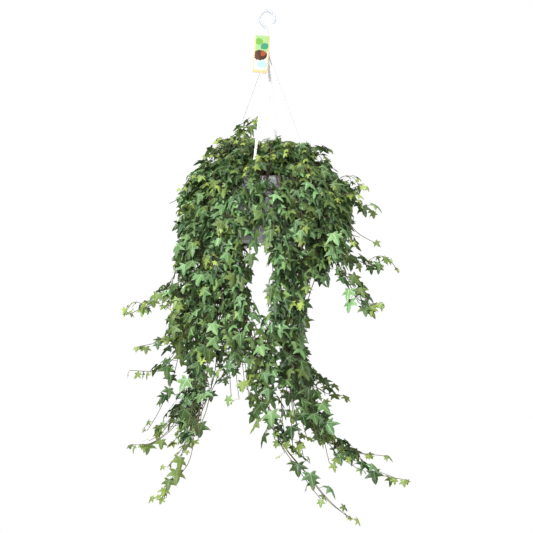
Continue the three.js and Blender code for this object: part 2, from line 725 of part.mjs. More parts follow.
const part = new THREE.Group();
part.name = 'potted_ivy';
part.add(meshOf('pot', potSolid, whitePlastic.clone()));
part.add(meshOf('saucer', saucerSolid, whitePlastic.clone()));
part.add(meshOf('soil', soilSolid, pottingMix));
part.add(meshOf('hanger', hangerSolid, whitePlastic.clone()));
part.add(meshOf('tag', labelSolid, labelPlastic));
part.add(ivy);

export default part;
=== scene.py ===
"""Potted English ivy in a hanging pot, dressed around its solid model.

Metres, +Z up, -Y is the front. The origin is the top inside the hook. Laid out as an add-on and
run as a script: main() calls one operator after the other.
"""

import math
from functools import partialmethod
from types import SimpleNamespace

import bpy
import numpy as np
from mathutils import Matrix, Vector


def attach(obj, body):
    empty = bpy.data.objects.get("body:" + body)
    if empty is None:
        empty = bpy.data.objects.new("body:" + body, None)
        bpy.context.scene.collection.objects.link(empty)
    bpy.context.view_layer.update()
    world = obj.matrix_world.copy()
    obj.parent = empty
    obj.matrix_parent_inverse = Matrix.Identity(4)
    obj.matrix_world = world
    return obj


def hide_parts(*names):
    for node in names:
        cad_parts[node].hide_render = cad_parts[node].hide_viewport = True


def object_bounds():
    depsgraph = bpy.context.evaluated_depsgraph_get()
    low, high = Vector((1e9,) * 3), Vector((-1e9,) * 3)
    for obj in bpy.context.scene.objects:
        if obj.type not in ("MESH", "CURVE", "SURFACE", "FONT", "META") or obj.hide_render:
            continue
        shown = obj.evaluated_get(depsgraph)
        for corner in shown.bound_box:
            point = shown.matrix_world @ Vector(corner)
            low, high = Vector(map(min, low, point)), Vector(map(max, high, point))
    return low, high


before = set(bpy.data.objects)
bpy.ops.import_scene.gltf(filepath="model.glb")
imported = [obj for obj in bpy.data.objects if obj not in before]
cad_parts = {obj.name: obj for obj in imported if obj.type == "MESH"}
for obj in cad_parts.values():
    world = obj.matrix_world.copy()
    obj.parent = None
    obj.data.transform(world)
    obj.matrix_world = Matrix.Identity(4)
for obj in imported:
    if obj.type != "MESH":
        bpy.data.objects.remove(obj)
CAD_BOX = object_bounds()

bl_info = {
    "name": "Potted Ivy",
    "version": (1, 0, 0),
    "blender": (4, 2, 0),
    "location": "3D View > Sidebar > Ivy",
    "description": "Builds a trailing ivy in a white hanging pot around its solid model",
    "category": "Object",
}

MM = 0.001
BODY = "root"
UP = np.array([0.0, 0.0, 1.0])
X_AXIS, Y_AXIS, Z_AXIS = 0, 1, 2

# Heights, radii and other sizes in millimetres, and the straps' azimuths in degrees
RIM_Z = -459.0
RIM_RADIUS = 135.0
RIM_DEPTH = 12.0
WALL = 2.4
WALL_TOP_RADIUS = 131.0
FOOT_RADIUS = 95.0
POT_BOTTOM_Z = -639.5
BAND_TOP_Z = -504.0
BAND_BOTTOM_Z = -512.0
BAND_SWELL = 0.7
SAUCER_BOTTOM_Z = -642.0
SAUCER_TOP_Z = -612.0
SAUCER_RADIUS = 105.0
SAUCER_FLOOR_RADIUS = 97.5
SAUCER_HOLLOW_RADIUS = 60.0
SOIL_Z = -471.0
SOIL_EDGE_Z = -476.0
ROOT_DEPTH = 18.0
HOOK_RADIUS = 21.0
HOOK_CENTRE_Z = -17.0
HUB_TOP_Z = -111.0
HUB_BOTTOM_Z = -130.0
HUB_RADIUS = 9.0
STRAP_AZIMUTHS = (-107.0, -17.0, 73.0, 163.0)
STRAP_WIDTH = 7.0
STRAP_THICKNESS = 2.6
CLIP_WIDTH = 12.0
LABEL_WIDTH = 42.0
LABEL_HEIGHT = 108.0

# The hook's arc in degrees, the points that its shank passes under it, and its flat section:
# thickness, width and corner radius
HOOK_ARC = (-38, 232)
SHANK_POINTS = ((-5, 0, -43), (-1, 0, -50), (0, 0, -58), (0, 0, -85), (0, 0, -117))
HOOK_SECTION = (5.5, 8.0, 1.3)

# How strongly the label bows, its turn in its own plane and its lean on the front strap in degrees,
# and the place of its top edge. Then the corners of the eye that holds it on the stem
LABEL_BOW = 0.00077
LABEL_TILT = 4
LABEL_LEAN = -14
LABEL_PLACE = (-12.0, -3.95, -66.0)
EYE_CORNERS = ((-5.2, -3.5, -71), (-5.2, 3.6, -71), (5.2, 3.6, -71), (5.2, -3.5, -71))

# The label's print: the colours of its ground and its border, then plain spots, each with its middle
# and its half width and height as shares of the card, and its colour
LABEL_GROUND = (0.60, 0.58, 0.52)
LABEL_BORDER = (0.68, 0.46, 0.20)
LABEL_SPOTS = (
    (0.5, 0.8, 0.8, 0.26, (0.30, 0.46, 0.19)),
    (0.30, 0.84, 0.26, 0.09, (0.15, 0.35, 0.06)),
    (0.68, 0.72, 0.25, 0.09, (0.045, 0.25, 0.15)),
    (0.42, 0.47, 0.46, 0.14, (0.068, 0.024, 0.012)),
    (0.62, 0.52, 0.18, 0.07, (0.30, 0.07, 0.027)),
    (0.60, 0.23, 0.36, 0.10, (0.38, 0.55, 0.69)),
)

# Steps round the pot, the saucer and the floor
SIDES = 96

# Where the level camera stands across and in height, and the place that the lights aim at, in metres
VIEW_X, VIEW_Z = -0.0014, -0.7075
AIM = (0.0, 0.0, -0.7)

# Lights: name, place and diameter in metres, and share of the key light's power
LIGHTS = (
    ("key", (-2.8, -4.4, 1.6), 0.5, 1.0),
    ("front", (0.3, -6.2, 0.1), 1.4, 0.29),
    ("fill", (3.6, -3.8, -0.3), 2.4, 0.13),
    ("top", (0.4, -0.8, 4.4), 2.0, 0.28),
    ("back", (-1.8, 4.6, 1.0), 2.4, 0.42),
    ("side", (5.0, 1.4, 0.4), 2.4, 0.24),
)

# Open parts seen from the front, which leaves keep out of. Slanting lines first: x and z of a point
# on the line, and how far the line moves in x with each millimetre upwards
SLIT_LINE = (12, -470, 0.2)
WEDGE_RIGHT = (150, -745, -0.9)
TAILS_LEFT = (-158, -1078, 0.28)
TAILS_RIGHT = (-50, -1156, -0.9)

# The slit that shows the pot's wall, the wedge beside the right tail, the skirt's left side and the
# space between the tails
FRONT_Y = -60
SLIT_HALF_WIDTH = 12.0
SLIT_HEIGHTS = (-650, -452)
WEDGE_LEFT_X = 108
WEDGE_HEIGHTS = (-985, -735)
SKIRT_LEFT_X = -251
SKIRT_LEFT_HEIGHTS = (-760, -380)
TAILS_TOP_Z = -1080

# How stems bend aside for the slit: the depths below the hook between which it opens and closes, and
# how far in front of the axis the bend starts and is full. Then the height that the dome's stems
# keep under
SLIT_OPENS = (430, 476)
SLIT_CLOSES = (630, 690)
SLIT_FRONT = (60, 100)
DOME_TOP_Z = -350

# Two ovals under the pot: middle in x and z, half width and half height. Then the empty side over
# the right tail, the front strap and the rim: limits in x, limits in z, and the y that leaves in
# front of it stay short of
VIEW_OVALS = ((-23, -770, 27, 48), (-14, -665, 13, 24))
VIEW_BOXES = (
    ((238, 999), (-640, -570), 999),
    ((-38, -18), (-404, -340), FRONT_Y),
    ((-16, 36), (-478, -448), -90),
)

# Dome shoots: azimuth at the root, root radius, height above the rim at the top, end radius and
# end height above the rim
DOME_SHOOTS = (
    (20, 26, 106, 84, 90),
    (95, 30, 110, 80, 92),
    (168, 26, 108, 88, 92),
    (238, 30, 108, 80, 90),
    (308, 26, 106, 88, 86),
    (8, 62, 92, 158, 46),
    (44, 66, 88, 154, 50),
    (98, 62, 94, 158, 46),
    (132, 66, 92, 156, 52),
    (186, 62, 98, 160, 52),
    (218, 66, 96, 158, 56),
    (274, 62, 94, 156, 44),
    (316, 66, 90, 156, 44),
)

# The shoot that stands up out of the dome: its root, then the points that it passes
RISING_ROOT = (-50, 40)
RISING_POINTS = ((-92, 26, -408), (-96, 16, -372), (-74, 12, -336), (-46, 12, -306), (-22, 14, -287))

# Shoots over the rim: azimuth where they cross it, root radius, height over it, then the points
# that they pass on their way down
TRAILING_SHOOTS = (
    (-97, 104, 20, (-20, -186, -560), (-12, -190, -610)),
    (-88, 90, 26, (14, -192, -560), (26, -196, -640), (34, -186, -705)),
    (-78, 106, 18, (46, -186, -600), (30, -170, -760), (8, -140, -920), (0, -110, -1080), (40, -90, -1190),
     (110, -80, -1280), (176, -72, -1360), (236, -66, -1404)),
    (-68, 92, 24, (82, -176, -560), (96, -182, -630)),
    (-58, 106, 18, (100, -160, -600), (82, -150, -760), (70, -130, -900), (66, -110, -1040),
     (84, -96, -1150), (100, -88, -1230)),
    (-48, 92, 26, (130, -146, -570), (132, -150, -660), (104, -146, -765)),
    (-38, 106, 20, (158, -126, -580), (180, -124, -680), (222, -116, -765), (268, -108, -808),
     (318, -100, -806)),
    (-28, 92, 24, (186, -96, -550), (206, -98, -630)),
    (-6, 106, 22, (206, -22, -540), (246, -30, -610), (296, -34, -641)),
    (4, 90, 30, (210, 12, -500), (258, 14, -536), (296, 18, -556)),
    (14, 106, 20, (196, 50, -580), (216, 44, -650), (262, 34, -695), (322, 22, -704)),
    (25, 92, 32, (192, 80, -492), (232, 84, -490), (272, 84, -474)),
    (36, 106, 20, (156, 112, -600), (102, 104, -760), (82, 90, -900), (104, 70, -1000), (160, 56, -1060),
     (222, 44, -1070)),
    (48, 92, 24, (142, 146, -580), (134, 140, -680), (104, 128, -780)),
    (60, 106, 18, (92, 150, -600), (66, 132, -780), (56, 104, -960), (104, 70, -1110), (176, 44, -1190),
     (256, 28, -1226), (332, 20, -1236)),
    (84, 104, 22, (20, 190, -570), (34, 190, -660), (44, 176, -750)),
    (96, 90, 26, (-20, 188, -550), (-26, 192, -610)),
    (107, 106, 18, (-62, 176, -600), (-84, 160, -760), (-56, 136, -890), (-30, 112, -1010),
     (-12, 98, -1120)),
    (118, 92, 24, (-96, 170, -570), (-112, 170, -670), (-130, 160, -760)),
    (129, 106, 20, (-120, 146, -600), (-140, 136, -760), (-140, 116, -900), (-150, 100, -1020),
     (-190, 88, -1130), (-240, 80, -1220), (-280, 74, -1272)),
    (140, 92, 26, (-152, 126, -560), (-172, 130, -640)),
    (151, 106, 18, (-172, 92, -600), (-190, 86, -760), (-200, 76, -900), (-222, 66, -1060),
     (-270, 56, -1160), (-330, 50, -1204), (-384, 44, -1206)),
    (175, 92, 30, (-212, 14, -500), (-246, 10, -520), (-272, 8, -532)),
    (-175, 106, 20, (-214, -20, -590), (-246, -26, -690), (-282, -34, -790), (-374, -40, -836)),
    (-165, 90, 26, (-206, -58, -560), (-238, -64, -650), (-256, -66, -720)),
    (-155, 106, 20, (-188, -92, -600), (-222, -96, -760), (-256, -96, -880), (-306, -96, -916),
     (-358, -92, -928)),
    (-145, 92, 24, (-164, -124, -560), (-184, -132, -640)),
    (-135, 106, 20, (-146, -142, -600), (-168, -140, -780), (-186, -124, -960), (-208, -96, -1110),
     (-240, -84, -1240), (-272, -78, -1310), (-300, -76, -1346)),
    (-126, 92, 24, (-116, -166, -570), (-122, -172, -670), (-112, -166, -760)),
    (-117, 106, 18, (-84, -176, -600), (-84, -176, -760), (-80, -160, -880), (-66, -140, -980),
     (-60, -128, -1040)),
    (-22, 70, 34, (166, -62, -600), (102, -80, -780), (84, -80, -940), (116, -70, -1060), (150, -62, -1160),
     (172, -58, -1250)),
    (-11, 78, 36, (168, -20, -620), (96, -20, -800), (84, -8, -960), (140, 0, -1110), (222, 4, -1218),
     (310, 4, -1284), (390, 4, -1302)),
    (-170, 76, 36, (-206, -34, -640), (-212, -40, -800), (-236, -50, -930), (-300, -56, -992),
     (-380, -56, -994)),
    (158, 76, 34, (-180, 48, -620), (-176, 40, -800), (-176, 30, -960), (-206, 26, -1080),
     (-250, 24, -1150), (-302, 24, -1150)),
)

# Stems that branch off a shoot: the shoot's number, the share of its length where they leave it, and
# the points that they pass
BRANCHES = (
    (15, 0.30, (-62, -168, -500), (-76, -178, -560), (-74, -178, -620), (-66, -172, -670)),
    (15, 0.36, (-46, -170, -530), (-50, -172, -600), (-46, -170, -660), (-54, -164, -712),
     (-64, -160, -790)),
    (15, 0.40, (-28, -158, -520), (-30, -160, -580), (-26, -160, -640)),
    (16, 0.36, (-4, -166, -530), (0, -164, -590), (8, -168, -650), (16, -168, -720), (16, -164, -790)),
    (16, 0.82, (30, -178, -770), (18, -168, -850), (-4, -156, -930), (-12, -146, -1000)),
    (43, 0.70, (-118, -150, -880), (-104, -134, -980), (-98, -124, -1060)),
    (44, 0.48, (-62, -166, -780), (-36, -160, -826), (-8, -152, -862), (12, -148, -900)),
    (44, 0.55, (-70, -166, -836), (-42, -154, -890), (-24, -140, -960), (-18, -130, -1020)),
    (44, 0.62, (-66, -146, -920), (-56, -136, -1000), (-50, -128, -1062)),
    (44, 0.60, (-92, -150, -900), (-84, -140, -1000), (-76, -134, -1070)),
    (17, 0.34, (14, -150, -870), (-18, -138, -940), (-34, -126, -1016)),
    (17, 0.31, (16, -164, -850), (-8, -164, -890), (-18, -156, -950), (-22, -146, -1020)),
    (44, 0.52, (-58, -172, -834), (-38, -170, -874), (-30, -162, -930), (-36, -150, -1000)),
    (17, 0.62, (24, -104, -1120), (34, -96, -1190)),
    (32, 0.50, (-104, 130, -900), (-112, 112, -1010)),
    (32, 0.60, (-30, 120, -960), (10, 104, -1060), (30, 96, -1140)),
    (34, 0.45, (-118, 110, -940), (-112, 100, -1030)),
    (36, 0.72, (-262, 66, -1130), (-298, 60, -1176), (-330, 56, -1196)),
    (42, 0.56, (-158, -112, -1040), (-166, -104, -1100), (-192, -96, -1160), (-222, -90, -1210)),
    (42, 0.62, (-180, -100, -1060), (-196, -94, -1150), (-226, -86, -1220)),
    (47, 0.44, (-246, -46, -960), (-268, -50, -1040), (-300, -54, -1110), (-330, -56, -1160)),
    (48, 0.50, (-184, 20, -1020), (-190, 16, -1120), (-214, 16, -1200)),
    (19, 0.66, (40, -116, -1060), (44, -104, -1140), (58, -96, -1200)),
    (19, 0.60, (92, -110, -1040), (122, -96, -1120), (140, -88, -1190)),
    (45, 0.60, (66, -74, -1010), (72, -66, -1110), (96, -60, -1180)),
    (29, 0.52, (84, 90, -1040), (124, 66, -1140), (190, 50, -1210), (240, 44, -1230)),
    (46, 0.60, (150, 0, -1160), (196, 0, -1230), (262, 0, -1276)),
    (27, 0.60, (110, 76, -980), (150, 64, -1030), (190, 58, -1046)),
)

# Right half of a blade one unit long, from beside the stalk to just before the middle tip
HALF_BLADE = (
    (0.10, -0.08), (0.27, -0.17), (0.47, -0.17), (0.31, 0.10), (0.50, 0.23), (0.66, 0.43), (0.41, 0.42),
    (0.20, 0.45), (0.20, 0.63), (0.11, 0.85),
)

# How far up a blade the fans of its two faces meet, how thick it is there as a share of its
# length, and how its outline lies in the UV square
VEIN_CENTRE = 0.3
BLADE_THICKNESS = 0.04
UV_SCALE = 1.4
UV_X = 0.5
UV_Y = 0.2

# Main veins of a half blade: direction across and along it, and width at the stalk
VEINS = ((0.0, 1.0, 0.062), (0.836, 0.549, 0.050), (0.931, -0.364, 0.042))

# What each leaf's own form is drawn from, as shares of its length: how far its blade is domed,
# folded along its middle, curled at its tip and twisted. Then how its stalk's length varies, and
# its hue from deep green to olive
LEAF_RANGES = {
    "cup": (0.06, 0.46), "fold": (0.0, 0.44), "curl": (-0.3, 0.4), "lean": (-0.12, 0.12),
    "reach": (0.7, 1.4), "hue": (0, 1),
}

# Degrees by which a leaf turns to its side of the stem, strays from there and rolls on its stalk
LEAF_TURN = (4, 100)
LEAF_STRAY = (-16, 16)
LEAF_ROLL = (-42, 42)

# Distance from a stem's root to its first leaf, on the shoots of the dome and on the others, and
# the length of the short straight parts that a stem is made of
FIRST_DOME_LEAF = 45.0
FIRST_LEAF = 52.0
STEM_STEP = 14.0

# Thinner stems: their share of the main stem's radius and the distance to their first leaf. Young
# sprays start between two shares of the main stem, and their arch is given as shares of their
# length, outwards and upwards
COMPANION_SHARE = 0.72
BRANCH_SHARE = 0.6
BRANCH_LEAF = 8.0
SPRAY_SHARE = 0.42
SPRAY_LEAF = 6.0
SPRAY_STARTS = (0.3, 0.95)
SPRAY_LENGTH = (40, 95)
SPRAY_ARCH = ((0, 0), (0.35, 0.22), (0.72, 0.16), (1.0, -0.22))

# Leaves stand closer on the dome and further apart on the stems that reach below LOW_TAIL_Z. A stem
# isn't cut shorter than its first ten points
DOME_SPACING = 0.78
TAIL_SPACING = 1.25
LOW_TAIL_Z = -900
SHORTEST_STEM = 10

# What changes in the leaves downwards: each share, and the depths below the hook between which it
# grows. It goes for how far they are thinned out, and for their size, lightness and width
THINNED = ((0.18, 600, 680), (0.42, 900, 1080), (0.17, 1110, 1240))
LARGER = ((0.12, 440, 560), (0.06, 900, 1150))
LIGHTER = ((0.76, 400, 560), (-0.34, 900, 1150))
WIDER = ((0.16, 700, 1000),)

# Thinner shoots beside a main one: how many, how far they drift from it by their tips, and how far
# each of their points wanders
COMPANIONS = {
    "dome": (6, (30, 30, 10), (9, 9, 6)),
    "rising": (3, (6, 6, 4), (5, 5, 4)),
    "short": (3, (14, 14, 8), (9, 9, 6)),
    "long": (4, (14, 14, 8), (9, 9, 6)),
}
LONG_SHOOT_POINTS = 9

# Of these, the trailing ones lean in to the pot's axis, and the dome's turn round it by some degrees
# and move down or up a little. All are cut to a share of their length
COMPANION_LEAN = 14
COMPANION_TURN = (-26, 26)
COMPANION_SINK = (-34, 4)
COMPANION_LENGTH = (0.62, 1.0)

# How far leaves stay clear of the pot and of the straps, and how far leaves and stems may pass the
# solid model's box
POT_CLEARANCE = 3.0
STRAP_CLEARANCE = 6.0
LEAF_PAST_BOX = 12.0
STEM_PAST_BOX = 6


def length_setting(name, description, default):
    """A length in metres."""
    return bpy.props.FloatProperty(name=name, description=description, default=default, unit="LENGTH")


def colour_setting(name, description, default):
    """A colour."""
    return bpy.props.FloatVectorProperty(
        name=name, description=description, default=default, subtype="COLOR", min=0, max=1)


def number_setting(name, description, default, highest):
    """A number from 0 to the highest."""
    return bpy.props.FloatProperty(name=name, description=description, default=default, min=0, max=highest)


class IvySettings(bpy.types.PropertyGroup):
    leaf_length: length_setting("Leaf length", "Length of a full-grown blade from stalk to tip", 0.041)
    stalk_length: length_setting("Leaf stalk length", "Length of a full-grown leaf's stalk", 0.025)
    leaf_spacing: length_setting("Leaf spacing", "Distance along a stem between leaves", 0.0155)
    stem_radius: length_setting("Stem radius", "Radius of a stem at its root", 0.0021)
    tip_radius: length_setting("Stem tip radius", "Radius of a stem at its tip", 0.0009)
    mature: colour_setting("Full-grown leaf", "Colour of a full-grown blade", (0.010, 0.037, 0.005))
    mature_light: colour_setting(
        "Lighter full-grown leaf", "Colour of the lighter full-grown blades", (0.152, 0.310, 0.112))
    olive: colour_setting("Olive leaf", "Colour of the yellowest full-grown blades", (0.215, 0.320, 0.070))
    young: colour_setting("Young leaf", "Colour of a young blade", (0.29, 0.38, 0.055))
    vein: colour_setting("Vein", "Colour of the veins", (0.44, 0.60, 0.36))
    underside: colour_setting("Underside", "Colour of a blade's underside", (0.085, 0.18, 0.040))
    old_stem: colour_setting("Old stem", "Colour of a stem near its root", (0.055, 0.030, 0.017))
    young_stem: colour_setting("Young stem", "Colour of a stem near its tip", (0.12, 0.10, 0.045))
    leaf_roughness: number_setting("Leaf roughness", "Roughness of a blade's upper face", 0.42, 1)


class PotSettings(bpy.types.PropertyGroup):
    pot_colour: colour_setting("Pot", "Colour of the pot and saucer", (0.86, 0.90, 0.93))
    hanger_colour: colour_setting("Hanger", "Colour of the hanger's thin straps", (0.94, 0.94, 0.95))
    # Painted shade: a grey for the white hook and its stem that stands in for the shade on them
    hook_painted_shade: colour_setting("Hook", "Colour of the thicker hook and stem", (0.48, 0.50, 0.56))
    soil_colour: colour_setting("Potting mix", "Colour of the potting mix", (0.035, 0.022, 0.015))
    label_thickness: length_setting("Label thickness", "Thickness of the plant label", 0.0009)


class StageSettings(bpy.types.PropertyGroup):
    camera_distance: length_setting("Camera distance", "Distance of the camera from the pot's axis", 7.0)
    frame_height: length_setting("Frame height", "Height of the view at the pot's axis", 1.482)
    floor_z: length_setting("Floor height", "Height of the floor under the hanging pot", -2.1)
    floor_radius: length_setting("Floor radius", "Radius of the round floor", 1.25)
    floor_colour: colour_setting("Floor", "Colour of the floor", (0.93, 0.93, 0.93))
    key_power: number_setting(
        "Key light", "Power of the key light in watts, which the others are shares of", 440.0, 5000)
    surroundings: number_setting(
        "Surroundings", "Brightness of the white surroundings that are seen", 1.0, 10)
    soft_light: number_setting("Soft light", "Brightness of the even light from all round", 0.05, 10)


# Shapes worked out with numpy


def polar(azimuth, radius, z):
    """Point at a radius and azimuth in degrees round the pot's axis."""
    turn = np.radians(azimuth)
    return np.array([radius * np.cos(turn), radius * np.sin(turn), z], dtype=float)


def unit(vectors):
    """Vectors scaled to length one along the last axis."""
    return vectors / np.maximum(np.linalg.norm(vectors, axis=-1, keepdims=True), 1e-9)


def smoothstep(x, low, high):
    """0 below low, 1 above high, and 3t squared less 2t cubed between."""
    t = np.clip((x - low) / (high - low), 0, 1)
    return t * t * (3 - 2 * t)


def curve_through(points, per_segment=10):
    """Centripetal Catmull-Rom curve through the points.

    Between two points it is the cubic whose end slopes come from their neighbours, weighted by
    the square root of the distances. The outer neighbours mirror the second and last but one.
    """
    points = np.asarray(points, dtype=float)
    before = 2 * points[0] - points[1]
    after = 2 * points[-1] - points[-2]
    padded = np.vstack([before, points, after])
    knots = np.sqrt(np.maximum(np.linalg.norm(np.diff(padded, axis=0), axis=1), 1e-6))[:, None]
    d0, d1, d2 = knots[:-2], knots[1:-1], knots[2:]
    p0, p1, p2, p3 = padded[:-3], padded[1:-2], padded[2:-1], padded[3:]
    m1 = ((p1 - p0) / d0 - (p2 - p0) / (d0 + d1) + (p2 - p1) / d1) * d1
    m2 = ((p2 - p1) / d1 - (p3 - p1) / (d1 + d2) + (p3 - p2) / d2) * d1
    t = (np.arange(per_segment) / per_segment)[None, :, None]
    p1, p2, m1, m2 = (a[:, None, :] for a in (p1, p2, m1, m2))
    cubic = p1 + t * m1 + t**2 * (3 * p2 - 3 * p1 - 2 * m1 - m2) + t**3 * (2 * p1 - 2 * p2 + m1 + m2)
    return np.vstack([cubic.reshape(-1, 3), points[-1:]])


def reach_of(path):
    """Distance along a path to each of its points."""
    steps = np.linalg.norm(np.diff(path, axis=0), axis=1)
    return np.concatenate([[0], np.cumsum(steps)])


def sample(path, distances):
    """Points and directions at distances along a path."""
    reach = reach_of(path)
    behind, at, ahead = (
        np.stack([np.interp(distances + step, reach, axis) for axis in path.T], axis=1)
        for step in (-2.0, 0.0, 2.0))
    return at, unit(ahead - behind)


def stations(path):
    """Points of a path and its directions there."""
    return sample(path, reach_of(path))


def carried(at, along, side, section):
    """A closed section carried along a path through the points at with directions along.

    Each station holds the section's points, its x along side made square to the path and its y
    along the path crossed with side. section is one outline or one for each station.
    """
    side = unit(side - np.sum(side * along, axis=-1, keepdims=True) * along)
    other = np.cross(along, side)
    section = np.broadcast_to(section, (len(at),) + np.shape(section)[-2:])
    rings = at[:, None, :] + section[:, :, :1] * side[:, None, :] + section[:, :, 1:] * other[:, None, :]
    count, around = section.shape[:2]
    return rings.reshape(-1, 3), [(tube_walls(count, around), 0), (end_caps(count, around), 0)]


def tube_walls(count, around):
    """Quads between the rings of a tube of count rings, each of around points."""
    first = np.arange(count - 1)[:, None] * around
    k = np.arange(around)
    a, b = first + k, first + (k + 1) % around
    return np.stack([a, b, b + around, a + around], axis=-1).reshape(-1, 4)


def end_caps(count, around):
    """Fans that close the two ends of such a tube, as triangles."""
    k = np.arange(1, around - 1)
    start = np.stack([np.zeros_like(k), k + 1, k], axis=1)
    end = np.stack([np.zeros_like(k), k, k + 1], axis=1) + (count - 1) * around
    return np.vstack([start, end])


def repeated(faces, number, per):
    """Faces of number like surfaces that follow each other, each with per points."""
    return (faces + np.arange(number)[:, None, None] * per).reshape(-1, faces.shape[1])


def circle(radius, sides):
    """Points of a circle, or of one circle for each radius."""
    turn = np.arange(sides) * 2 * np.pi / sides
    ring = np.stack([np.cos(turn), np.sin(turn)], axis=1)
    return np.asarray(radius)[..., None, None] * ring


def rounded_box(width, height, corner, per_corner=4):
    """Outline of a box with quarter-circle corners."""
    turn = np.linspace(0, np.pi / 2, per_corner)
    centres = np.array([[1, 1], [-1, 1], [-1, -1], [1, -1]]) * [width / 2 - corner, height / 2 - corner]
    angles = turn[None, :] + np.arange(4)[:, None] * np.pi / 2
    arcs = centres[:, None, :] + corner * np.stack([np.cos(angles), np.sin(angles)], axis=-1)
    return arcs.reshape(-1, 2)


def revolved(profile, sides):
    """A profile of radius and height turned round the pot's axis. Its two ends lie on the axis."""
    profile = np.asarray(profile, dtype=float)
    inner = profile[1:-1]
    body = np.concatenate([
        inner[:, None, :1] * circle(1.0, sides),
        np.broadcast_to(inner[:, None, 1:], (len(inner), sides, 1)),
    ], axis=2).reshape(-1, 3)
    poles = [[0, 0, profile[0, 1]], [0, 0, profile[-1, 1]]]
    k = np.arange(sides)
    after = (k + 1) % sides
    last = (len(inner) - 1) * sides
    low = np.stack([np.full(sides, len(body)), after, k], axis=1)
    high = np.stack([np.full(sides, len(body) + 1), last + k, last + after], axis=1)
    return np.vstack([body, poles]), [(tube_walls(len(inner), sides), 0), (np.vstack([low, high]), 0)]


def softened(profile, radius, steps=4):
    """A profile whose inner corners are replaced by short quadratic curves."""
    profile = np.asarray(profile, dtype=float)
    out = [profile[:1]]
    t = np.linspace(0, 1, steps)[:, None]
    for before, corner, after in zip(profile[:-2], profile[1:-1], profile[2:]):
        back, on = before - corner, after - corner
        cut = min(radius, 0.45 * np.linalg.norm(back), 0.45 * np.linalg.norm(on))
        a = corner + back / np.linalg.norm(back) * cut
        b = corner + on / np.linalg.norm(on) * cut
        out.append((1 - t) ** 2 * a + 2 * t * (1 - t) * corner + t**2 * b)
    out.append(profile[-1:])
    return np.vstack(out)


class Skin:
    """Gathers vertices, faces, UVs and leaf tones of the surfaces that make one piece."""

    def __init__(self):
        self.points = []
        self.faces = []
        self.slots = []
        self.uvs = []
        self.tones = []
        self.count = 0

    def add(self, points, faces, uv=(0, 0), tone=(0, 0, 0)):
        """Adds one surface: points in millimetres, pairs of a face array and its material slot, and
        the UV place and tone of each point or of them all."""
        self.points.append(points)
        for block, slot in faces:
            self.faces.append(block + self.count)
            self.slots.append(np.full(len(block), slot))
        self.uvs.append(np.broadcast_to(uv, (len(points), 2)))
        self.tones.append(np.broadcast_to(tone, (len(points), 3)))
        self.count += len(points)

    def piece(self, name, materials, smooth_angle=math.radians(50)):
        """Makes the mesh object: whole arrays go into the mesh with foreach_set."""
        points = np.vstack(self.points) * MM
        sizes = np.concatenate([np.full(len(f), f.shape[1]) for f in self.faces])
        corners = np.concatenate([f.reshape(-1) for f in self.faces])
        starts = np.concatenate([[0], np.cumsum(sizes)[:-1]])
        mesh = bpy.data.meshes.new(name)
        mesh.vertices.add(len(points))
        mesh.vertices.foreach_set("co", points.astype(np.float32).reshape(-1))
        mesh.loops.add(len(corners))
        mesh.loops.foreach_set("vertex_index", corners.astype(np.int32))
        mesh.polygons.add(len(sizes))
        mesh.polygons.foreach_set("loop_start", starts.astype(np.int32))
        mesh.polygons.foreach_set("material_index", np.concatenate(self.slots).astype(np.int32))
        mesh.update(calc_edges=True)
        uv = np.vstack(self.uvs)[corners]
        mesh.uv_layers.new(name="blade").data.foreach_set("uv", uv.astype(np.float32).reshape(-1))
        tone = np.hstack([np.vstack(self.tones), np.ones((len(points), 1))])
        layer = mesh.attributes.new("tone", "FLOAT_COLOR", "POINT")
        layer.data.foreach_set("color", tone.astype(np.float32).reshape(-1))
        mesh.polygons.foreach_set("use_smooth", np.ones(len(sizes), dtype=bool))
        mesh.set_sharp_from_angle(angle=smooth_angle)
        if mesh.validate():
            raise RuntimeError(f"{name} has faulty faces")
        for material in materials:
            mesh.materials.append(material)
        piece = bpy.data.objects.new(name, mesh)
        bpy.context.scene.collection.objects.link(piece)
        return piece


# Materials


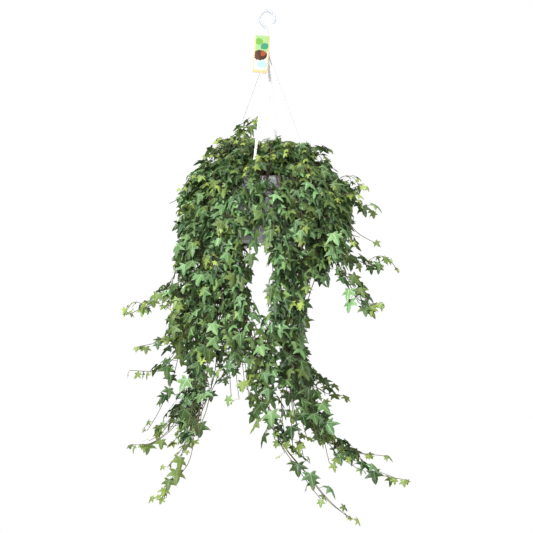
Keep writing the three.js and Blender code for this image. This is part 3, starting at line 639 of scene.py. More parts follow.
class Nodes:
    """Shorthand for a material's node tree: most methods add a node and return its output."""

    def __init__(self, name):
        self.material = bpy.data.materials.new(name)
        self.material.use_nodes = True
        self.tree = self.material.node_tree
        self.shader = self.tree.nodes["Principled BSDF"]

    def put(self, socket, value):
        """Links a socket, or sets its number or its colour."""
        if isinstance(value, bpy.types.NodeSocket):
            self.tree.links.new(value, socket)
        else:
            socket.default_value = (*value, 1.0) if hasattr(value, "__len__") else value

    def math(self, operation, a, b=0.0, c=0.0, clamp=False):
        """A sum on up to three values, kept between 0 and 1 by clamp."""
        made = self.tree.nodes.new("ShaderNodeMath")
        made.operation = operation
        made.use_clamp = clamp
        for socket, value in zip(made.inputs, (a, b, c)):
            self.put(socket, value)
        return made.outputs[0]

    add = partialmethod(math, "ADD")
    less = partialmethod(math, "SUBTRACT")
    times = partialmethod(math, "MULTIPLY")
    over = partialmethod(math, "DIVIDE")
    scaled = partialmethod(math, "MULTIPLY_ADD")
    larger = partialmethod(math, "MAXIMUM")
    smaller = partialmethod(math, "MINIMUM")

    def mix(self, share, a, b):
        """The colour a where share is 0, b where it is 1, and a blend between."""
        made = self.tree.nodes.new("ShaderNodeMix")
        made.data_type = "RGBA"
        for name, value in (("Factor", share), ("A", a), ("B", b)):
            self.put(made.inputs[name], value)
        return made.outputs["Result"]

    def noise(self, vector, scale, detail=3.0):
        """Soft cloudy noise of about 0 to 1 over a vector, finer with a larger scale."""
        made = self.tree.nodes.new("ShaderNodeTexNoise")
        self.put(made.inputs["Vector"], vector)
        made.inputs["Scale"].default_value = scale
        made.inputs["Detail"].default_value = detail
        return made.outputs["Fac"]

    def place(self):
        """Object coordinates, in metres."""
        return self.tree.nodes.new("ShaderNodeTexCoord").outputs["Object"]

    def blade(self):
        """The piece's own UV map."""
        made = self.tree.nodes.new("ShaderNodeUVMap")
        made.uv_map = "blade"
        return made.outputs[0]

    def parts(self, vector):
        """The x, y and z of a vector."""
        made = self.tree.nodes.new("ShaderNodeSeparateXYZ")
        self.put(made.inputs[0], vector)
        return tuple(made.outputs)

    def tone(self):
        """The piece's tone attribute, split: age, lightness, and a blade's hue or a stem's greenness."""
        made = self.tree.nodes.new("ShaderNodeAttribute")
        made.attribute_name = "tone"
        split = self.tree.nodes.new("ShaderNodeSeparateColor")
        self.put(split.inputs[0], made.outputs["Color"])
        return tuple(split.outputs)

    def bump(self, height, strength, distance):
        """Roughens the finish by a height, with a strength and a depth in metres."""
        made = self.tree.nodes.new("ShaderNodeBump")
        for name, value in (("Strength", strength), ("Distance", distance), ("Height", height)):
            self.put(made.inputs[name], value)
        self.put(self.shader.inputs["Normal"], made.outputs[0])

    def finish(self, colour, roughness, specular=0.5):
        """Gives the shader its colour and gloss, and returns the material."""
        self.put(self.shader.inputs["Base Color"], colour)
        self.put(self.shader.inputs["Roughness"], roughness)
        self.shader.inputs["Specular IOR Level"].default_value = specular
        return self.material


def dimmed(colour, share):
    """A colour scaled by a share."""
    return tuple(share * channel for channel in colour)


def vein_masks(n):
    """How far a place on a blade lies on a main vein, and on the fine net between them.

    The main veins run straight from the stalk into each lobe and narrow on the way."""
    u, v, _ = n.parts(n.blade())
    x = n.math("ABSOLUTE", n.times(n.less(u, UV_X), UV_SCALE))
    y = n.times(n.less(v, UV_Y), UV_SCALE)
    veins = 0.0
    for dx, dy, width in VEINS:
        along = n.add(n.times(x, dx), n.times(y, dy))
        across = n.math("ABSOLUTE", n.less(n.times(x, dy), n.times(y, dx)))
        narrow = n.larger(n.scaled(along, -0.7 * width, width), 0.006)
        mask = n.less(1.0, n.over(across, narrow), clamp=True)
        mask = n.times(mask, n.math("GREATER_THAN", along, -0.02))
        veins = n.larger(veins, mask)
    net = n.tree.nodes.new("ShaderNodeTexVoronoi")
    net.feature = "DISTANCE_TO_EDGE"
    net.inputs["Scale"].default_value = 13.0
    n.put(net.inputs["Vector"], n.blade())
    fine = n.less(1.0, n.over(net.outputs["Distance"], 0.09), clamp=True)
    return veins, fine


def blade_material(ivy):
    """Upper face of a blade: pale veins on a green that depends on the leaf's age."""
    n = Nodes("ivy leaf upper face")
    age, light, hue = n.tone()
    veins, fine = vein_masks(n)
    blotch = n.noise(n.place(), 60.0)
    tint = n.scaled(blotch, 0.30, n.scaled(light, 1.2, -0.14), clamp=True)
    green = n.mix(tint, ivy.mature, ivy.mature_light)
    olive = n.less(n.times(hue, 3.2), 2.2, clamp=True)
    green = n.mix(olive, green, n.mix(tint, dimmed(ivy.olive, 0.4), ivy.olive))
    green = n.mix(age, green, ivy.young)
    strength = n.times(n.scaled(hue, -0.5, 1.0), n.scaled(tint, 0.6, 0.4))
    pale = n.times(n.larger(veins, n.times(fine, 0.22)), strength)
    n.bump(n.add(n.times(veins, -1.0), n.times(fine, -0.35)), 0.35, 0.0006)
    return n.finish(n.mix(pale, green, ivy.vein), n.scaled(blotch, 0.16, ivy.leaf_roughness - 0.08), 0.28)


def underside_material(ivy):
    """Underside of a blade: paler and duller, with raised veins."""
    n = Nodes("ivy leaf underside")
    age, light, _ = n.tone()
    veins, fine = vein_masks(n)
    cloud = n.noise(n.place(), 80.0)
    tint = n.scaled(light, 0.5, n.times(cloud, 0.4), clamp=True)
    green = n.mix(age, n.mix(tint, dimmed(ivy.underside, 0.55), ivy.underside), ivy.young)
    ribs = n.larger(veins, n.times(fine, 0.3))
    n.bump(ribs, 0.5, 0.0008)
    return n.finish(n.mix(n.times(ribs, 0.5), green, ivy.vein), 0.62, 0.3)


def stem_material(ivy):
    """Bark that turns from brown at the root to green at the tip, with fine specks."""
    n = Nodes("ivy stem")
    _, _, share = n.tone()
    cloud = n.noise(n.place(), 220.0, 4.0)
    turn = n.add(share, n.scaled(cloud, 0.5, -0.25), clamp=True)
    n.bump(cloud, 0.4, 0.0004)
    return n.finish(n.mix(turn, ivy.old_stem, ivy.young_stem), 0.6, 0.4)


def plastic_material(name, colour, roughness, milky=0.0, top=None):
    """Moulded plastic: a fine moulded grain and faint scuffs in its gloss. milky lets light pass
    from its lit sides into its shaded ones, as in thin white mouldings. top is a painted shade: a
    grey colour that the plastic takes above the hub, so that the hook and its stem look shaded."""
    n = Nodes(name)
    grain = n.noise(n.place(), 900.0, 2.0)
    scuff = n.noise(n.place(), 35.0, 5.0)
    n.bump(grain, 0.12, 0.0002)
    shade = n.mix(n.times(scuff, 0.12), colour, dimmed(colour, 0.85))
    # Painted shade: above the hub the colour fades to top, a grey standing in for shade on the hook and
    # stem
    if top is not None:
        height = n.less(n.parts(n.place())[2], HUB_TOP_Z * MM)
        shade = n.mix(n.over(height, 0.06, clamp=True), shade, top)
    n.shader.inputs["Subsurface Weight"].default_value = milky
    n.shader.inputs["Subsurface Radius"].default_value = (1.0, 1.0, 1.0)
    n.shader.inputs["Subsurface Scale"].default_value = 0.008
    return n.finish(shade, n.scaled(scuff, 0.14, roughness - 0.07))


def soil_material(pot):
    """Potting mix: dark crumbs with lighter fibres."""
    n = Nodes("potting mix")
    crumbs = n.noise(n.place(), 260.0, 6.0)
    fibre = n.noise(n.place(), 90.0, 4.0)
    n.bump(crumbs, 1.0, 0.003)
    colour = n.mix(n.math("POWER", fibre, 2.5), pot.soil_colour, dimmed(pot.soil_colour, 3.2))
    return n.finish(colour, 0.95, 0.2)


def label_material():
    """Printed card without lettering: a tan border round soft plain spots, which are two leafy
    greens on a lighter green, a brown slope with a redder patch, and a pale blue pool."""
    n = Nodes("plant label print")
    u, v, _ = n.parts(n.blade())
    warp = n.noise(n.blade(), 7.0, 3.0)
    wavy_u = n.scaled(warp, 0.16, n.less(u, 0.08))
    wavy_v = n.scaled(warp, 0.07, n.less(v, 0.035))
    colour = LABEL_GROUND
    for middle_u, middle_v, half_width, half_height, paint in LABEL_SPOTS:
        across = n.over(n.less(wavy_u, middle_u), half_width)
        upwards = n.over(n.less(wavy_v, middle_v), half_height)
        inside = n.less(1.0, n.add(n.times(across, across), n.times(upwards, upwards)))
        colour = n.mix(n.scaled(inside, 6.0, 0.5, clamp=True), colour, paint)
    edge = n.smaller(n.smaller(u, n.less(1.0, u)), v)
    border = n.less(1.0, n.over(n.less(edge, 0.05), 0.03), clamp=True)
    return n.finish(n.mix(border, colour, LABEL_BORDER), 0.45, 0.25)


# Stems and leaves


def shoot_points(number):
    """Points of shoot number's stem, from its root in the potting mix to its tip."""
    kind = kind_of(number)
    if kind == "rising":
        foot = np.array([*RISING_ROOT, 0.0])
        way = RISING_POINTS
    elif kind == "dome":
        azimuth, root, top, end, end_top = DOME_SHOOTS[number]
        foot = polar(azimuth, root, 0.0)
        way = (
            polar(azimuth, root + 0.25 * (end - root), RIM_Z + 0.66 * top),
            polar(azimuth, root + 0.55 * (end - root), RIM_Z + top),
            polar(azimuth, end, RIM_Z + end_top))
    else:
        azimuth, root, over, *way = TRAILING_SHOOTS[number - len(DOME_SHOOTS) - 1]
        foot = polar(azimuth, root, 0.0)
        crest = RIM_RADIUS + 13
        way = (
            polar(azimuth, (root + crest) / 2, RIM_Z + 0.92 * over),
            polar(azimuth, crest, RIM_Z + over),
            polar(azimuth, crest + 27, RIM_Z - 30 + over),
            *way)
    return np.array([foot + UP * (SOIL_Z - ROOT_DEPTH), foot + UP * (SOIL_Z + 3), *way])


def kind_of(number):
    """Whether shoot number belongs to the dome, stands up out of it, or trails over the rim."""
    if number < len(DOME_SHOOTS):
        return "dome"
    if number == len(DOME_SHOOTS):
        return "rising"
    return "trailing"


def companions(points, number, draw):
    """Thinner shoots that grow beside a main one: the same points, moved further aside the
    further they are from the root, and cut to a part of its length."""
    kind = kind_of(number)
    size = "long" if len(points) >= LONG_SHOOT_POINTS else "short"
    count, drifts, wanders = COMPANIONS[size if kind == "trailing" else kind]
    share = np.linspace(0, 1, len(points))[:, None]
    paths = []
    for _ in range(count):
        drift = draw.normal(size=3) * drifts
        if kind == "trailing":
            drift -= COMPANION_LEAN * unit(points[3] * [1, 1, 0])
        wander = draw.normal(size=(len(points), 3)) * wanders
        moved = points + share * drift + np.minimum(share * 3, 1) * wander
        if kind == "dome":
            moved = moved @ turned(Z_AXIS, draw.uniform(*COMPANION_TURN))
            moved[3:] += [0, 0, draw.uniform(*COMPANION_SINK)]
        path = curve_through(moved)
        paths.append(path[: int(len(path) * draw.uniform(*COMPANION_LENGTH))])
    return paths


def turned(axis, degrees):
    """Matrix that turns row vectors about one of the three axes."""
    cosine, sine = math.cos(math.radians(degrees)), math.sin(math.radians(degrees))
    first, second = (axis + 1) % 3, (axis + 2) % 3
    matrix = np.eye(3)
    matrix[[first, second], [first, second]] = cosine
    matrix[first, second] = sine
    matrix[second, first] = -sine
    return matrix


def branches(path, number):
    """Stems of the table of branches that leave this shoot: each starts on its path."""
    total = reach_of(path)[-1]
    found = []
    for shoot, share, *points in BRANCHES:
        if shoot == number + 1:
            start, along = sample(path, np.array([share * total - 30, share * total]))
            found.append(curve_through(np.vstack([start, start[1:] + 30 * along[1:], points])))
    return found


def young_sprays(path, number, draw):
    """Short new shoots that arch out of the foliage: from a point of the main path they rise a
    little as they head away from the pot's axis, then droop."""
    total = reach_of(path)[-1]
    count = 2 if number < len(DOME_SHOOTS) else 1 + int(total / 500)
    shares = draw.uniform(*SPRAY_STARTS, count)
    start, _ = sample(path, shares * total)
    found = []
    for at in start[start[:, 2] > LOW_TAIL_Z]:
        turn = math.atan2(at[1], at[0]) + draw.normal() * 0.6
        outward = np.array([math.cos(turn), math.sin(turn), 0.0])
        steps = np.array(SPRAY_ARCH) * draw.uniform(*SPRAY_LENGTH)
        spray = curve_through(at + steps[:, :1] * outward + steps[:, 1:] * UP)
        if not np.any(in_view_gap(spray)):
            found.append(spray)
    return found


def outside_pot(points, margin):
    """Where points stand clear of the pot, the saucer and the potting mix."""
    radius = np.hypot(points[..., 0], points[..., 1])
    z = points[..., 2]
    wall = FOOT_RADIUS + (RIM_RADIUS - FOOT_RADIUS) * (z - POT_BOTTOM_Z) / (RIM_Z - POT_BOTTOM_Z)
    wall = np.maximum(wall, SAUCER_RADIUS)
    beside = (z < RIM_Z + margin) & (z > SAUCER_BOTTOM_Z - margin) & (radius < wall + margin)
    return ~beside


def outside_hanger(points, margin):
    """Where points stand clear of the four straps."""
    clear = np.ones(points.shape[:-1], dtype=bool)
    for azimuth in STRAP_AZIMUTHS:
        top, foot = polar(azimuth, 5, HUB_BOTTOM_Z), polar(azimuth, RIM_RADIUS, RIM_Z)
        run = foot - top
        share = np.clip((points - top) @ run / (run @ run), 0, 1)
        gap = np.linalg.norm(points - top - share[..., None] * run, axis=-1)
        clear &= gap > margin
    return clear


def between_tails(points):
    """Where points lie in the space between the two tails seen from the front: it widens downwards."""
    x, _, z = points.T
    right = edge_x(TAILS_RIGHT, np.minimum(z, TAILS_RIGHT[1]))
    return (z < TAILS_TOP_Z) & (x > edge_x(TAILS_LEFT, z)) & (x < right)


def in_view_gap(points):
    """Where points lie in the open parts seen from the front: two ovals under the pot, the slits
    where its wall and rim show, the empty sides of the dome, the skirt and the right tail, and the
    space between the tails and in front of the strap."""
    x, y, z = points.T
    slit = (np.abs(x - edge_x(SLIT_LINE, z)) < SLIT_HALF_WIDTH) & (y < FRONT_Y) & within(z, SLIT_HEIGHTS)
    wedge = (x > WEDGE_LEFT_X) & (x < edge_x(WEDGE_RIGHT, z)) & within(z, WEDGE_HEIGHTS)
    left = (x < SKIRT_LEFT_X + 9 * np.sin(z / 21)) & within(z, SKIRT_LEFT_HEIGHTS)
    above = ((z > -353 - 0.10 * np.abs(x)) & (x > -20)) | ((z > -370) & (x < -165))
    gap = slit | wedge | left | above | between_tails(points)
    for middle_x, middle_z, half_width, half_height in VIEW_OVALS:
        gap |= ((x - middle_x) / half_width) ** 2 + ((z - middle_z) / half_height) ** 2 < 1
    for widths, heights, nearest_y in VIEW_BOXES:
        gap |= within(x, widths) & within(z, heights) & (y < nearest_y)
    return gap


def within(values, limits):
    """Where values lie between two limits."""
    return (values > limits[0]) & (values < limits[1])


def edge_x(line, z):
    """Where a straight edge seen from the front lies at a height."""
    x, height, slope = line
    return x + slope * (z - height)


def beside_slit(path):
    """A path at the front of the pot, moved aside to the nearer edge of the slit that shows its
    wall. The slit opens below the rim and closes under the saucer, so the path bends softly."""
    x, y, z = path.T
    opening = smoothstep(-z, *SLIT_OPENS) * (1 - smoothstep(-z, *SLIT_CLOSES)) * smoothstep(-y, *SLIT_FRONT)
    middle = edge_x(SLIT_LINE, z)
    hand = np.where(x < middle, -1.0, 1.0)
    away = hand * np.maximum(np.abs(x - middle), SLIT_HALF_WIDTH * opening)
    return np.stack([middle + away, y, z], axis=1)


def under_dome_top(path):
    """A dome shoot's path, flattened where it would stand bare above the dome's leaves. The top
    they keep to is lower on the right-hand side."""
    x, y, z = path.T
    top = DOME_TOP_Z - smoothstep(x, -40, 0) * (12 + 0.1 * np.abs(x))
    return np.stack([x, y, np.minimum(z, top)], axis=1)


def inside_box(points, margin):
    """Where points stay within the solid model's box, widened by a margin."""
    low, high = (np.array(corner) / MM for corner in CAD_BOX)
    return np.all((points > low - margin) & (points < high + margin), axis=-1)


def by_depth(ramps, depth):
    """Sum of shares that each grow between two depths below the hook."""
    return sum(share * smoothstep(depth, top, foot) for share, top, foot in ramps)


def leaf_frames(path, first, spacing, youth, facing, draw):
    """Places, sizes and tones of the leaves on one stem, as whole arrays.

    Leaves stand at even steps that close up towards the tip, on alternate sides. The stalk
    leaves level with the ground, and the blade hangs from its end, flatter on the dome's top.
    youth runs from 0 for an old stem to 1 for a new one, whose leaves are smaller and yellower.
    facing is the azimuth that the leaves turn to, or None where it is away from the pot's axis.
    The dome's leaves are smaller and darker than those below.
    """
    total = reach_of(path)[-1]
    count = max(3, int((total - first) / spacing))
    step = (np.arange(count) + 0.9) / count
    share = first / total + (1 - first / total) * (1 - (1 - step) ** 1.15)
    start, along = sample(path, share * total)
    depth = -start[:, 2]
    side = np.where(np.arange(count) % 2 == 0, 1.0, -1.0)
    outward = np.arctan2(start[:, 1], start[:, 0]) if facing is None else math.radians(facing)
    turn = outward + side * np.radians(draw.uniform(*LEAF_TURN, count))
    turn = turn + np.radians(draw.uniform(*LEAF_STRAY, count))
    level = np.stack([np.cos(turn), np.sin(turn), np.zeros(count)], axis=1)
    drop = np.clip((RIM_Z + 90 + depth) / 200, 0 if facing is None else 0.8, 1)
    hang = (0.36 + 0.28 * drop + draw.uniform(-0.28, 0.2, count))[:, None]
    stalk = level + UP * (0.25 - 0.5 * hang)
    stalk = unit(stalk - 0.75 * np.sum(stalk * along, axis=1, keepdims=True) * along)
    axis = unit(level * (1 - hang) - UP * hang)
    axis = unit(axis + stalk * np.maximum(0, 0.35 - np.sum(axis * stalk, axis=1, keepdims=True)))
    face = level + UP * 0.6
    face = unit(face - np.sum(face * axis, axis=1, keepdims=True) * axis)
    roll = (np.radians(draw.uniform(*LEAF_ROLL, count)) + 0.3 * draw.normal(size=count))[:, None]
    across = np.cross(axis, face)
    face, across = face * np.cos(roll) + across * np.sin(roll), across * np.cos(roll) - face * np.sin(roll)
    young = smoothstep(share, 0.9 - 0.6 * youth, 1.0)
    age = np.clip(young * draw.uniform(0.3, 0.9, count) + draw.uniform(-0.12, 0.14, count), 0, 1)
    age = np.clip(age + youth * draw.uniform(0.2, 0.6, count), 0, 1)
    size = (1 - 0.4 * young) * (0.48 + 0.66 * draw.uniform(0, 1, count) ** 0.9)
    size = size * (0.82 + by_depth(LARGER, depth)) * (1 - 0.3 * youth)
    light = draw.uniform(0, 1, count) ** 2.3 * (0.24 + by_depth(LIGHTER, depth))
    width = draw.uniform(0.8, 1.0, count) + by_depth(WIDER, depth)
    return SimpleNamespace(
        start=start, stalk=stalk, axis=axis, face=face, across=across, age=age, size=size,
        share=share, light=light, width=width,
        **{key: draw.uniform(low, high, count) for key, (low, high) in LEAF_RANGES.items()})


def blade_template():
    """Grid of a unit blade: its edge, a ring half way in, and the vein centre on either face.

    The fans round the two centres are made of quads that span two steps of the edge each.
    """
    half = np.array(HALF_BLADE)
    edge = np.vstack([[0.0, 0.0], half, [0.0, 1.0], half[::-1] * [-1, 1]])
    centre = np.array([0.0, VEIN_CENTRE])
    points = np.vstack([edge, centre + 0.52 * (edge - centre), centre, centre])
    count = len(edge)
    k = np.arange(count)
    band = np.stack([k, (k + 1) % count, (k + 1) % count + count, k + count], axis=1)
    k = np.arange(0, count, 2)
    fan = np.stack([np.full(len(k), 2 * count), k, k + 1, (k + 2) % count], axis=1)
    top = fan + [0, count, count, count]
    under = fan[:, [0, 3, 2, 1]] + [1, 0, 0, 0]
    return points, np.vstack([band, top]), under, count


def add_leaves(skin, leaves, leaf_length, stalk_length):
    """Blades and stalks of many leaves in whole arrays.

    A blade's height is a dome that falls with the squared distance from the vein centre, less a
    fold along the middle, with the tips curled. Its underside is a shallow fan just below.
    """
    template, upper, under, edge_count = blade_template()
    x, y = template[:, 0], template[:, 1]
    number, per = len(leaves.size), len(template)
    stalk = (stalk_length * leaves.size * leaves.reach)[:, None]
    base = leaves.start + leaves.stalk * stalk - UP * 0.12 * stalk
    cup, fold, curl, lean = (a[:, None] for a in (leaves.cup, leaves.fold, leaves.curl, leaves.lean))
    radius = x * x + (y - VEIN_CENTRE) ** 2
    height = -cup * radius - fold * np.abs(x) * (0.4 + 0.6 * y) - curl * np.maximum(y - 0.45, 0) ** 2
    height = height + lean * x * y + 0.03 * np.sin(9 * x + 5 * y + 40 * lean) * radius
    height[:, edge_count : 2 * edge_count] += 0.5 * BLADE_THICKNESS
    height[:, -1] -= 0.5 * BLADE_THICKNESS
    size = (leaf_length * leaves.size)[:, None, None]
    wide = (leaves.width[:, None] * x)[..., None]
    points = base[:, None, :] + size * (
        leaves.across[:, None, :] * wide
        + leaves.axis[:, None, :] * y[None, :, None]
        + leaves.face[:, None, :] * height[..., None])
    uv = np.stack([UV_X + x / UV_SCALE, UV_Y + y / UV_SCALE], axis=1)
    tone = np.stack([leaves.age, leaves.light, leaves.hue], axis=1)
    faces = [(repeated(upper, number, per), 1), (repeated(under, number, per), 2)]
    skin.add(points.reshape(-1, 3), faces, np.tile(uv, (number, 1)), np.repeat(tone, per, axis=0))
    add_stalks(skin, leaves, base, stalk, tone)


def add_stalks(skin, leaves, base, stalk, tone):
    """Leaf stalks: three-sided tubes along a quadratic curve from the stem to the blade."""
    count, sides = 3, 3
    t = np.linspace(0, 1, count)[None, :, None]
    start = leaves.start[:, None, :]
    middle = (leaves.start + leaves.stalk * 0.55 * stalk + UP * 0.06 * stalk)[:, None, :]
    end = (base + leaves.axis * 0.9 - leaves.face * 0.5)[:, None, :]
    path = (1 - t) ** 2 * start + 2 * t * (1 - t) * middle + t**2 * end
    along = unit(end - start)
    side = unit(np.cross(along, UP + 0.01))
    other = np.cross(along, side)
    thick = (0.75 - 0.2 * t) * np.clip(leaves.size, 0.5, 1.1)[:, None, None]
    ring = circle(1.0, sides)
    ring = side[:, :, None, :] * ring[:, :1] + other[:, :, None, :] * ring[:, 1:]
    points = path[:, :, None, :] + ring * thick[..., None]
    number, per = len(points), count * sides
    tone = tone.copy()
    tone[:, 2] = np.clip(0.35 + 0.65 * tone[:, 0], 0, 1)
    faces = [
        (repeated(tube_walls(count, sides), number, per), 0),
        (repeated(end_caps(count, sides), number, per), 0),
    ]
    skin.add(points.reshape(-1, 3), faces, tone=np.repeat(tone, per, axis=0))


def add_stem(skin, path, root_radius, tip_radius, young):
    """A stem: a six-sided tube along its path, tapering from the root to the tip."""
    total = reach_of(path)[-1]
    distances = np.linspace(0, total, max(6, int(total / STEM_STEP)))
    at, along = sample(path, distances)
    outward = np.arctan2(at[-1, 1], at[-1, 0])
    side = [-math.sin(outward), math.cos(outward), 0.0]
    share = distances / total
    radius = root_radius + (tip_radius - root_radius) * share
    sides = 6
    points, faces = carried(at, along, side, circle(radius, sides))
    tone = np.zeros((len(points), 3))
    tone[:, 2] = np.repeat(np.clip(share * 0.9 + young, 0, 1), sides)
    skin.add(points, faces, tone=tone)


def clear_leaves(leaves, leaf_length, stalk_length, draw):
    """The leaves that stand clear of the pot and the straps and stay inside the plant's box, thinned
    out along the lower tails."""
    foot = leaves.start + leaves.stalk * (stalk_length * leaves.size * leaves.reach)[:, None]
    reach = (leaf_length * leaves.size)[:, None]
    tip = foot + leaves.axis * reach
    middle = (foot + tip) / 2
    half = 0.5 * reach * leaves.across
    keep = ~in_view_gap(middle)
    for spot in (foot, middle, tip, middle + half, middle - half):
        keep &= outside_pot(spot, POT_CLEARANCE) & outside_hanger(spot, STRAP_CLEARANCE)
        keep &= inside_box(spot, LEAF_PAST_BOX)
    thinned = by_depth(THINNED, -middle[:, 2])
    keep &= (draw.random(len(keep)) > thinned) | (leaves.share > 0.985)
    return SimpleNamespace(**{key: value[keep] for key, value in vars(leaves).items()})


def make_shoot(number, ivy, materials):
    """One leafy shoot with the thinner shoots beside it, in place of its solid."""
    draw = np.random.default_rng(101 + number)
    skin = Skin()
    points = shoot_points(number)
    main_path = np.vstack([points[:1], curve_through(points[1:])])
    kind = kind_of(number)
    trailing = kind == "trailing"
    leaf_length, stalk_length = ivy.leaf_length / MM, ivy.stalk_length / MM
    radius, tip_radius = ivy.stem_radius / MM, ivy.tip_radius / MM
    first_leaf = FIRST_LEAF if trailing else FIRST_DOME_LEAF
    age = 0.15 if kind == "rising" else 0.0
    facing = -90.0 if kind == "rising" else None
    stems = [(main_path, 1.0, first_leaf, age)]
    stems += [(path, COMPANION_SHARE, first_leaf, age) for path in companions(points, number, draw)]
    stems += [(path, BRANCH_SHARE, BRANCH_LEAF, 0.0) for path in branches(main_path, number)]
    stems += [(path, SPRAY_SHARE, SPRAY_LEAF, 1.0) for path in young_sprays(main_path, number, draw)]
    low, high = (np.array(corner) / MM for corner in CAD_BOX)
    for path, share, first, youth in stems:
        path = np.clip(path, low - STEM_PAST_BOX, high + STEM_PAST_BOX)
        path = under_dome_top(path) if kind == "dome" else beside_slit(path)
        astray = np.flatnonzero(between_tails(path))
        if len(astray) and astray[0] > SHORTEST_STEM:
            path = path[: astray[0]]
        add_stem(skin, path, share * radius, tip_radius, 0.5 * youth)
        spacing = ivy.leaf_spacing / MM * (1 - 0.3 * youth)
        spacing *= TAIL_SPACING if path[-1, 2] <= LOW_TAIL_Z else 1.0
        spacing *= 1.0 if trailing else DOME_SPACING
        leaves = leaf_frames(path, first, spacing, youth, facing, draw)
        leaves = clear_leaves(leaves, leaf_length, stalk_length, draw)
        add_leaves(skin, leaves, leaf_length, stalk_length)
    name = f"ivy_shoot_{number + 1:02d}"
    piece = skin.piece(name, materials)
    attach(piece, BODY)
    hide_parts(f"shoot_{number + 1:02d}")


# Operators


class IVY_OT_camera(bpy.types.Operator):
    """Puts a level camera with a long lens in front of the pot"""

    bl_idname = "ivy.camera"
    bl_label = "Camera"

    def execute(self, context):
        stage = context.scene.ivy_stage
        data = bpy.data.cameras.new("camera")
        data.sensor_width = 36.0
        data.lens = 36.0 * stage.camera_distance / stage.frame_height
        data.clip_end = 60.0
        camera = bpy.data.objects.new("camera", data)
        context.scene.collection.objects.link(camera)
        camera.location = (VIEW_X, -stage.camera_distance, VIEW_Z)
        camera.rotation_euler = (math.pi / 2, 0, 0)
        context.scene.camera = camera
        return {"FINISHED"}


class IVY_OT_stage(bpy.types.Operator):
    """Builds the round pale floor well below the pot, the white surroundings and the soft lights"""

    bl_idname = "ivy.stage"
    bl_label = "Stage"

    def execute(self, context):
        stage = context.scene.ivy_stage
        self.floor(stage)
        for name, place, size, share in LIGHTS:
            data = bpy.data.lights.new(name, "AREA")
            data.shape = "DISK"
            data.size = size
            data.energy = stage.key_power * share
            light = bpy.data.objects.new(name, data)
            context.scene.collection.objects.link(light)
            light.location = place
            x, y, z = np.subtract(AIM, place)
            light.rotation_euler = (math.atan2(math.hypot(x, y), -z), 0, math.atan2(y, x) - math.pi / 2)
        context.scene.world = self.surroundings(stage)
        context.scene.view_settings.view_transform = "Standard"
        return {"FINISHED"}

    def floor(self, stage):
        """A flat round slab 20 mm thick, with a pale cloudy finish."""
        top = stage.floor_z / MM
        outer = stage.floor_radius / MM
        skin = Skin()
        skin.add(*revolved([(0, top - 20), (outer, top - 20), (outer, top), (0, top)], SIDES))
        n = Nodes("studio floor")
        cloud = n.times(n.noise(n.place(), 0.6, 2.0), 0.04)
        colour = n.mix(cloud, stage.floor_colour, dimmed(stage.floor_colour, 0.97))
        floor = skin.piece("studio_floor", [n.finish(colour, 0.9, 0.1)])

    def surroundings(self, stage):
        """A world that is seen as white and lights the plant with a softer even light."""
        world = bpy.data.worlds.new("studio")
        world.use_nodes = True
        tree = world.node_tree
        blend = tree.nodes.new("ShaderNodeMixShader")
        rays = tree.nodes.new("ShaderNodeLightPath")
        tree.links.new(rays.outputs["Is Camera Ray"], blend.inputs[0])
        seen, soft = tree.nodes["Background"], tree.nodes.new("ShaderNodeBackground")
        for slot, white, strength in ((1, soft, stage.soft_light), (2, seen, stage.surroundings)):
            white.inputs["Color"].default_value = (1.0, 1.0, 1.0, 1.0)
            white.inputs["Strength"].default_value = strength
            tree.links.new(white.outputs[0], blend.inputs[slot])
        tree.links.new(blend.outputs[0], tree.nodes["World Output"].inputs["Surface"])
        return world


def on_wall(z, outwards=0.0):
    """A point of the pot's profile on the outside of its wall at a height, moved outwards."""
    share = (z - POT_BOTTOM_Z) / (RIM_Z - POT_BOTTOM_Z)
    return FOOT_RADIUS + (WALL_TOP_RADIUS - FOOT_RADIUS) * share + outwards, z


